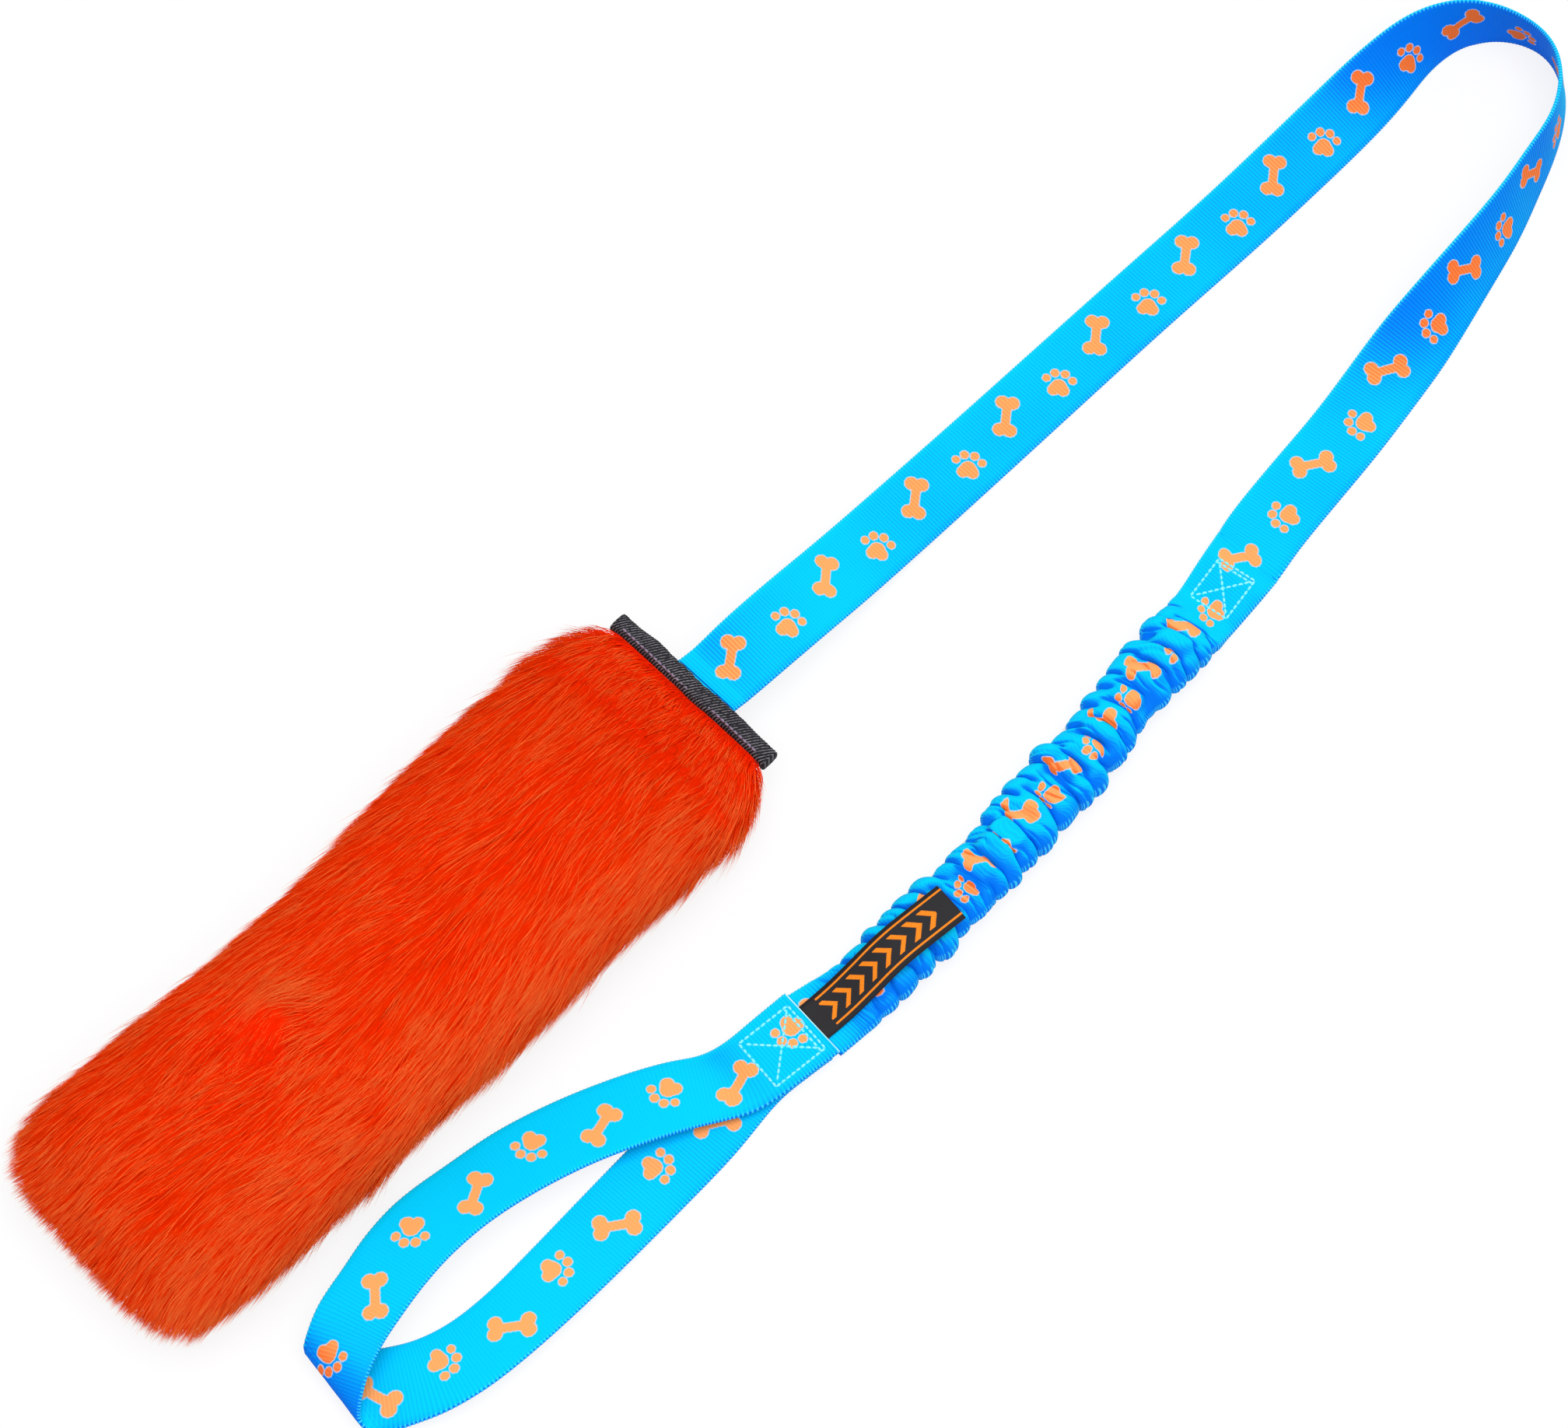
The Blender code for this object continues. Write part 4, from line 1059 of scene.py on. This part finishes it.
# %% The bolster's skin
TAIL_FRINGE = 0.0030
COVER_LENGTH = TAPE_LOW.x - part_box("fur_cover")[0].x - TAIL_FRINGE
COVER_WIDTH = 0.0820
COVER_HEIGHT = 0.042
COVER_Y = 0.0332
REST_CUT = 0.0005
BACKING = ((0.90, 0.018, 0.001, 1), (1.0, 0.035, 0.002, 1))
PILE_DEPTH = 0.0048
SETTLED_AT = 0.14
LUMPS = 0.0006
SKIN_FLOOR = 0.0015
TIP_ROUNDS = 0.002
SKIN_RINGS = (50, 15)
SKIN_SIDES = 72
COVER_SHARES = [
    (0.000, 0.788, 0.181, 6.0),
    (0.030, 0.950, 0.420, 3.6),
    (0.075, 1.020, 0.700, 3.0),
    (0.140, 1.025, 0.880, 2.7),
    (0.230, 1.020, 0.970, 2.5),
    (0.350, 1.015, 1.000, 2.5),
    (0.480, 0.990, 1.000, 2.5),
    (0.610, 0.980, 0.985, 2.5),
    (0.730, 0.990, 0.975, 2.5),
    (0.830, 1.005, 0.950, 2.5),
    (0.900, 1.000, 0.890, 2.6),
    (0.950, 0.965, 0.800, 2.7),
    (0.976, 0.910, 0.670, 2.7),
    (0.990, 0.790, 0.490, 2.6),
    (0.997, 0.560, 0.300, 2.4),
    (1.000, 0.050, 0.030, 2.2),
]
TABLE_STEPS = 12
cover_table = curve_through(COVER_SHARES, TABLE_STEPS)
COVER_SWAY = [
    (0.00, 0.0),
    (0.06, 0.0003),
    (0.14, 0.0022),
    (0.30, 0.0018),
    (0.45, -0.0008),
    (0.62, -0.0016),
    (0.80, -0.0014),
    (0.92, -0.0002),
    (1.00, 0.0006),
]
sway_table = curve_through(COVER_SWAY, TABLE_STEPS)


def looked_up(share, table, column):
    """A column of a table at these shares of the length."""
    return np.interp(share, table[:, 0], table[:, column])


def cover_point(share, angle, inset):
    """Points of the bolster's outside, drawn in by an inset."""
    half_width = COVER_WIDTH / 2 * looked_up(share, cover_table, 1)
    half_height = COVER_HEIGHT / 2 * looked_up(share, cover_table, 2)
    power = looked_up(share, cover_table, 3)
    settle = np.clip(share / SETTLED_AT, 0, 1)
    centre_y = MOUTH_Y + (COVER_Y - MOUTH_Y) * settle + looked_up(share, sway_table, 1)
    centre_z = np.maximum(MOUTH_Z, half_height - REST_CUT)
    room = np.minimum(inset, 0.62 * half_height)
    y = powered(np.cos(angle), 2 / power) * (half_width - room)
    z = powered(np.sin(angle), 2 / power) * (half_height - room)
    x = TAPE_LOW.x - share * (COVER_LENGTH - inset)
    return np.stack(np.broadcast_arrays(x, centre_y + y, centre_z + z), -1)


def make_skin():
    """The knitted backing with its stuffing: the form under the fur."""
    body_rings, tail_rings = SKIN_RINGS
    share = np.concatenate([np.linspace(0, 0.9, body_rings),
                            1 - 0.1 * np.linspace(1, 0, tail_rings + 1)[1:] ** 2])[:, None]
    angle = np.arange(SKIN_SIDES)[None] * 2 * math.pi / SKIN_SIDES
    rings = cover_point(share, angle, PILE_DEPTH)
    lumps = LUMPS * waves(share * 22, 3 * np.cos(angle), 21) * smoothstep(share, 0.03, 0.15)
    rings[..., 1] += lumps * 0.5 * np.cos(angle)
    rings[..., 2] = np.maximum(rings[..., 2] + lumps * np.sin(angle), SKIN_FLOOR)
    tip = rings[-1:].mean(axis=1, keepdims=True)
    cap = [tip + (rings[-1:] - tip) * k - np.array([TIP_ROUNDS * (1 - k * k), 0, 0])
           for k in (0.75, 0.45, 0.15)]
    return turned_outward(skin("stuffed_body", np.concatenate([rings, *cap]), 1))


def make_backing_material():
    """The knitted backing, deep in the pile."""
    made, tree, shader = new_material("fur_backing", 0.85, 0.0)
    knit = noise(tree, 500.0)
    return finished(made, shader, mixed(knit, *BACKING), knit, 0.5, 0.0004)


body = make_skin()
dress(body, make_backing_material(), "fur_orange", "fur_cover")
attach(body, "toy")
print("skin:", round(body.dimensions.x, 3), "m long and", round(body.dimensions.y, 3), "m wide")

# %% [markdown]
# Fur is made of strands, because a bump can't give an outline. Each strand is a thin three-sided spike,
# flat side out, that stands up from the skin and bends over towards the tail; at the sides it fans out.
# Nearby strands lean together a little, as combed pile does, and slow noise turns the flow about, which
# gives soft partings. At least one strand in ten is a longer and paler guard hair, which makes streaks;
# the many more of them on the -Y side and at the tail are a painted rim light. Near the tail's middle the
# pile was pressed in, so there it lies shorter and in a swirl, and its strands get less of the lighter
# tip colour, a painted shade. Light wanders through a pile before it comes out, so the strands are shaded
# mostly as the surface they form: their normals are the skin's, turned up towards the light that falls
# into the pile from above.

# %% Fur strands
STRANDS = 156000
TUFTS = 3600
STRAND_LENGTH = 0.0185
ROOT_RADIUS = 0.000085
STEPS = 3
BANDS = 12
GUARD_SHARE = 0.10
HOLLOW = np.array([-0.113, 0.037])
HOLLOW_RADIUS = 0.013
TAIL_END = 0.975
TAIL_TRIES = 0.12
SLOPE_STEP = 2e-3
UNDERSIDE = 0.006
UNDERSIDE_SHARE = 0.40
MOUTH_EXTRA = 1.6
FLOOR_GAPS = (0.0006, 0.0012)
BAKE_ROWS = 16
BAKE_COLUMNS = 32
SLOW_TURN = 0.34
SLOW_RATES = (36, 50, 30)
QUICK_TURN = 0.30
QUICK_RATES = (150, 190, 90)
GUIDE_WILD = 0.16
STRAND_WILD = 0.07
GUARD_WILDER = 2.6
GUARD_LONGER = 1.16
HALF_FAN = 0.036
FAN = 0.24
MOUTH_FAN = 0.30
MOUTH_BACK = 0.35
MOUTH_LENGTH = 0.56
TAIL_SHORTER = 0.46
SWIRL = 1.3
STAND = 0.80
STAND_VARIES = 0.16
DROOP = 0.08
KINK = 0.035
GATHERED = 0.5
PULL = (0.10, 0.50)
TWIST = 0.35
PILE_SHARE = 0.90
PILE_LIFT = 0.75


def scattered(count, chance):
    """Shares along and angles round the bolster, evenly spread over its area.

    Half of the tries are spread over the width instead of the angle, since the flat mouth has hardly
    any angle on its wide sides, and some are kept for the tail's end, which has hardly any length; each
    try then counts for the area it stands for."""
    tries = count * 2
    at_end = chance.random(tries) < TAIL_TRIES
    share = np.where(at_end, 1 - (1 - TAIL_END) * chance.random(tries) ** 2, chance.random(tries))
    power = looked_up(share, cover_table, 3)
    flat = chance.uniform(-1, 1, tries)
    by_width = np.arccos(powered(flat, power / 2)) * chance.choice([-1, 1], tries)
    angle = np.where(chance.random(tries) < 0.5, by_width, chance.uniform(0, 2 * math.pi, tries))
    c, s = np.maximum(np.abs(np.cos(angle)), 1e-7), np.abs(np.sin(angle))
    crowding = 1 / math.pi + c ** (2 / power - 1) * s / power
    left = np.maximum(1 - share, 1e-6)
    crowding *= 1 - TAIL_TRIES + TAIL_TRIES * (share > TAIL_END) / (2 * np.sqrt(left * (1 - TAIL_END)))
    here = cover_point(share, angle, PILE_DEPTH)
    across = (cover_point(share, angle + 1e-6, PILE_DEPTH) - here) / 1e-6
    step = np.minimum(1e-3, left)
    forward = (cover_point(share + step, angle, PILE_DEPTH) - here) / step[:, None]
    area = np.linalg.norm(np.cross(across, forward), axis=1) / crowding
    area *= np.where(here[:, 2] < UNDERSIDE, UNDERSIDE_SHARE, 1) * np.where(share < 0.05, MOUTH_EXTRA, 1)
    keep = chance.choice(tries, count, replace=False, p=area / area.sum())
    return share[keep], angle[keep]


def directions(share, angle):
    """Outward and tailward unit directions on the skin."""
    step = np.clip((1 - share) / 2, 1e-5, SLOPE_STEP)
    low, high = np.maximum(share - step, 0), np.minimum(share + step, 1)
    forward = unit(cover_point(high, angle, PILE_DEPTH) - cover_point(low, angle, PILE_DEPTH))
    across = (cover_point(share, angle + SLOPE_STEP, PILE_DEPTH)
              - cover_point(share, angle - SLOPE_STEP, PILE_DEPTH))
    normal = unit(np.cross(across, forward))
    outward = cover_point(share, angle, 0.0) - cover_point(share, angle, PILE_DEPTH)
    inward = (normal * outward).sum(1) < 0
    normal[inward] *= -1
    return normal, forward


def near_hollow(root):
    """1 at the middle of the pressed spot, 0 away from it."""
    away = root[:, :2] - HOLLOW
    return np.exp(-(away**2).sum(1) / HOLLOW_RADIUS**2) * (root[:, 2] > 0.02)


def flow_noise(root, rates, seed, octaves=3):
    """Noise over the fur, slow or quick by its rates along X, Y and Z."""
    x, y, z = (root * rates).T
    return waves(x, y + z, seed, octaves)


def strand_paths(share, angle, chance, wild, guard):
    """Each strand's points from root to tip."""
    root = cover_point(share, angle, PILE_DEPTH)
    normal, forward = directions(share, angle)
    forward[:, 1] *= 1 - 0.8 * normal[:, 2] ** 2
    lateral = np.cross(forward, normal)
    swing = SLOW_TURN * flow_noise(root, SLOW_RATES, 31)
    swing += QUICK_TURN * flow_noise(root, QUICK_RATES, 33, 2)
    swing += chance.normal(0, wild, len(root)) * np.where(guard, GUARD_WILDER, 1.0)
    outward_y = np.clip((root[:, 1] - COVER_Y) / HALF_FAN, -1, 1)
    flow = forward * np.cos(swing)[:, None] + lateral * np.sin(swing)[:, None]
    flow *= (1 - 0.9 * smoothstep(share, 0.90, 0.995))[:, None]
    flow[:, 1] += FAN * powered(outward_y, 1.5)

    mouth = 1 - smoothstep(share, 0.0, 0.055)
    flow -= forward * (MOUTH_BACK * mouth)[:, None]
    flow[:, 1] += MOUTH_FAN * outward_y**3 * (1 - smoothstep(share, 0.02, 0.12))
    away = root[:, :2] - HOLLOW
    hollow = near_hollow(root)
    turned_away = unit(np.column_stack([-away[:, 1], away[:, 0]]))
    flow[:, :2] += turned_away * (SWIRL * hollow)[:, None]

    target = np.column_stack([-np.ones(len(root)), 0.18 * outward_y, np.full(len(root), -0.10)])
    target *= (1 - 0.8 * mouth)[:, None]
    length = STRAND_LENGTH * chance.uniform(0.80, 1.05, len(root)) * np.where(guard, GUARD_LONGER, 1.0)
    length *= 1 + 0.09 * flow_noise(root, (60, 60, 0), 12)
    length *= MOUTH_LENGTH + (1 - MOUTH_LENGTH) * smoothstep(share, 0.0, 0.07)
    length *= (1 - TAIL_SHORTER * smoothstep(share, 0.88, 1.0)) * (1 - 0.35 * hollow)
    stand = chance.normal(1.0, STAND_VARIES, len(root)) * (1 - 0.5 * hollow)
    paths = [root]
    for step in range(STEPS):
        t = (step + 0.5) / STEPS
        up = STAND * (1 - t) ** 1.5 * stand - DROOP
        heading = normal * up[:, None] + flow * (0.75 + 0.4 * t) + target * (0.20 + 0.85 * t * t)
        heading = unit(heading + chance.normal(0, KINK, heading.shape))
        paths.append(paths[-1] + heading * (length / STEPS)[:, None])
    return np.stack(paths, 1)


def combed_paths(chance):
    """All the strands' points with their share, angle and tone; paler guard hairs have tone 2."""
    guide_share, guide_angle = scattered(TUFTS, chance)
    guides = strand_paths(guide_share, guide_angle, chance, GUIDE_WILD, np.zeros(TUFTS, bool))
    tree = KDTree(TUFTS)
    for number, point in enumerate(guides[:, 0]):
        tree.insert(point, number)
    tree.balance()
    share, angle = scattered(STRANDS, chance)
    root = cover_point(share, angle, PILE_DEPTH)
    hollow = near_hollow(root)
    # More guard hairs on the -Y side and at the tail are a painted rim light; more near the mouth and
    # hollow.
    paler = 1 + 2.2 * smoothstep(COVER_Y - root[:, 1], 0.016, 0.036) + 1.2 * smoothstep(share, 0.84, 1.0)
    paler += 1.2 * (1 - smoothstep(share, 0.0, 0.07)) + 6 * hollow * (1 - hollow)
    guard = chance.random(STRANDS) < GUARD_SHARE * paler
    paths = strand_paths(share, angle, chance, STRAND_WILD, guard)
    nearest = np.array([tree.find(point)[1] for point in paths[:, 0]])
    t = np.linspace(0, 1, STEPS + 1)[None, :, None]
    offset = paths[:, :1] - guides[nearest][:, :1]
    gathered = guides[nearest] + offset * (1 - GATHERED * t**1.3)
    pull = chance.uniform(*PULL, STRANDS) * np.where(guard, 0.3, 1.0)
    paths = paths + (gathered - paths) * pull[:, None, None] * np.minimum(1, 1.5 * t)
    paths[..., 2] = np.maximum(paths[..., 2], chance.uniform(*FLOOR_GAPS, (STRANDS, 1)))
    tone = 0.55 * chance.random(STRANDS) + 0.45 * chance.random(TUFTS)[nearest]
    # Painted shade: strands in the pressed hollow get less of the lighter tip colour.
    tone *= 1 - 0.9 * hollow
    return paths, share, angle, np.where(guard, 2.0, tone)


def make_fur():
    """The strands as thin spikes, cut into pieces along the bolster."""
    chance = np.random.default_rng(17)
    paths, share, angle, tone = combed_paths(chance)
    span = paths[:, -1] - paths[:, 0]
    outward = directions(share, angle)[0]
    twisted = outward + TWIST * chance.normal(size=span.shape)
    across = unit(np.cross(twisted, span))
    beside = unit(np.cross(span, across))
    turn = np.radians([30, 150, 270])
    ring = across[:, None] * np.cos(turn)[None, :, None] + beside[:, None] * np.sin(turn)[None, :, None]
    radius = ROOT_RADIUS * chance.uniform(0.8, 1.2, STRANDS)
    taper = 1 - 0.65 * (np.arange(STEPS) / STEPS) ** 1.5
    rings = paths[:, :STEPS, None] + ring[:, None] * (radius[:, None] * taper)[:, :, None, None]
    points = np.concatenate([rings.reshape(STRANDS, -1, 3), paths[:, -1:]], 1)
    pile = unit(outward + np.array([0, 0, PILE_LIFT]))[:, None]
    own = np.concatenate([np.tile(ring, (1, STEPS, 1)), unit(span)[:, None]], 1)
    normals = unit(PILE_SHARE * pile + (1 - PILE_SHARE) * own)

    quads = [[r * 3 + k, r * 3 + (k + 1) % 3, r * 3 + 3 + (k + 1) % 3, r * 3 + 3 + k]
             for r in range(STEPS - 1) for k in range(3)]
    tips = [[STEPS * 3 - 3 + k, STEPS * 3 - 3 + (k + 1) % 3, STEPS * 3] for k in range(3)]
    pattern = np.array(sum(quads, []) + sum(tips, []))
    lengths = np.array([4] * len(quads) + [3] * len(tips))
    order = np.argsort(-paths[:, 0, 0], kind="stable")
    along_strand = np.concatenate([np.repeat(np.arange(STEPS) / STEPS, 3), [1.0]])

    pieces = []
    for band, chosen in enumerate(np.array_split(order, BANDS)):
        count, size = len(chosen), points.shape[1]
        mesh = bpy.data.meshes.new(f"fur_pile_{band + 1}")
        mesh.vertices.add(count * size)
        mesh.vertices.foreach_set("co", points[chosen].astype(np.float32).ravel())
        corners = (np.arange(count)[:, None] * size + pattern).ravel()
        mesh.loops.add(len(corners))
        mesh.loops.foreach_set("vertex_index", corners.astype(np.int32))
        totals = np.tile(lengths, count)
        mesh.polygons.add(len(totals))
        mesh.polygons.foreach_set("loop_start", (np.cumsum(totals) - totals).astype(np.int32))
        mesh.update()
        mesh.validate()
        store(mesh, "tip", np.tile(along_strand, count))
        store(mesh, "tone", np.repeat(tone[chosen], size))
        column = np.floor(share[chosen] * (BAKE_COLUMNS - 1)) + 0.1 + 0.8 * np.minimum(tone[chosen], 1)
        row = np.floor((angle[chosen] / (2 * math.pi) % 1) * (BAKE_ROWS - 0.01))
        u = np.repeat(column / BAKE_COLUMNS, len(pattern)) + np.tile((pattern % 3) / 3 * 0.004, count)
        v = (np.repeat(row, len(pattern)) + 0.08 + 0.84 * np.tile(along_strand[pattern], count)) / BAKE_ROWS
        mesh.uv_layers.new(name="OFBake").uv.foreach_set(
            "vector", np.column_stack([u, v]).astype(np.float32).ravel())
        mesh.shade_smooth()
        mesh.normals_split_custom_set_from_vertices(normals[chosen].reshape(-1, 3))
        pieces.append(placed(mesh.name, mesh))
    print("strands:", STRANDS, "in", BANDS, "pieces of", len(pieces[0].data.polygons), "faces")
    return pieces


fur_pieces = make_fur()

# %% [markdown]
# Dyed acrylic fur is one strong red-orange, a little deeper at the roots and lighter at the tips. The
# deeper roots are partly the dye and partly painted shade deep in the pile. Light passes from strand
# to strand, and every pass takes away what the dye absorbs, so the strands are given a paler colour
# than the pile shows. The guard hairs end in a pale salmon, where the dye is thin.

# %% Fur colours
FUR_ROOT = (1.0, 0.012, 0.0, 1)
FUR_BODY = (1.0, 0.020, 0.0, 1)
FUR_TIP = (1.0, 0.060, 0.001, 1)
GUARD_TIP = (1.0, 0.190, 0.040, 1)
FUR_SHEEN = (1.0, 0.12, 0.01, 1)


def make_fur_material():
    """Strand colour from root to tip, with lighter and darker strands."""
    made, tree, shader = new_material("orange_fur", 0.8, 0.0, sheen_weight=0.35, sheen_roughness=0.6,
                                      sheen_tint=FUR_SHEEN)
    tip, tone = stored(tree, "tip"), stored(tree, "tone")
    # The deeper root colour is partly painted shade deep in the pile.
    colour = mixed(ramp(tip, 0.0, 0.55), FUR_ROOT, FUR_BODY)
    light = ramp(tip, 0.30, 1.0) * (tone * 0.55 + noise(tree, 28.0, 3.0) * 0.45)
    guard = ramp(tone, 1.2, 1.8) * ramp(tip, 0.25, 0.95)
    return finished(made, shader, mixed(guard, mixed(light, colour, FUR_TIP), GUARD_TIP))


fur_material = make_fur_material()
for piece in fur_pieces:
    piece.data.materials.append(fur_material)
    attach(piece, "toy")
print("fur pieces:", len(fur_pieces))

# %% [markdown]
# Inside, the stuffing, the sewn-in strap end and the elastic band don't show, but they get their own
# finishes too, since the model can be taken apart.

# %% Hidden pieces
FIBRE = ((0.62, 0.61, 0.58, 1), (0.92, 0.91, 0.88, 1))
ELASTIC = ((0.60, 0.60, 0.58, 1), (0.86, 0.86, 0.84, 1))
ELASTIC_CORD = 0.0009


def make_fibre_material():
    """White fibre, tangled."""
    made, tree, shader = new_material("filling_fibre", 0.95, 0.1)
    tangle = noise(tree, 350.0, 4.0)
    return finished(made, shader, mixed(tangle, *FIBRE), tangle, 0.9, 0.001)


def make_elastic_material():
    """White elastic with its lengthwise cords."""
    made, tree, shader = new_material("woven_elastic", 0.7, 0.2)
    cord = ripple(axes_of(tree.nodes.new("ShaderNodeTexCoord").outputs["Object"])[1], ELASTIC_CORD)
    return finished(made, shader, mixed(ramp(cord, -1.0, 1.0), *ELASTIC), cord, 0.6, 0.0002)


hidden = {"fibre_filling": make_fibre_material(), "elastic_band": make_elastic_material(),
          "strap_anchor": WEBBING_MATERIAL}
for node, material in hidden.items():
    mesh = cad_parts[node].data
    mesh.materials.clear()
    mesh.materials.append(material)
print("hidden nodes:", *hidden)
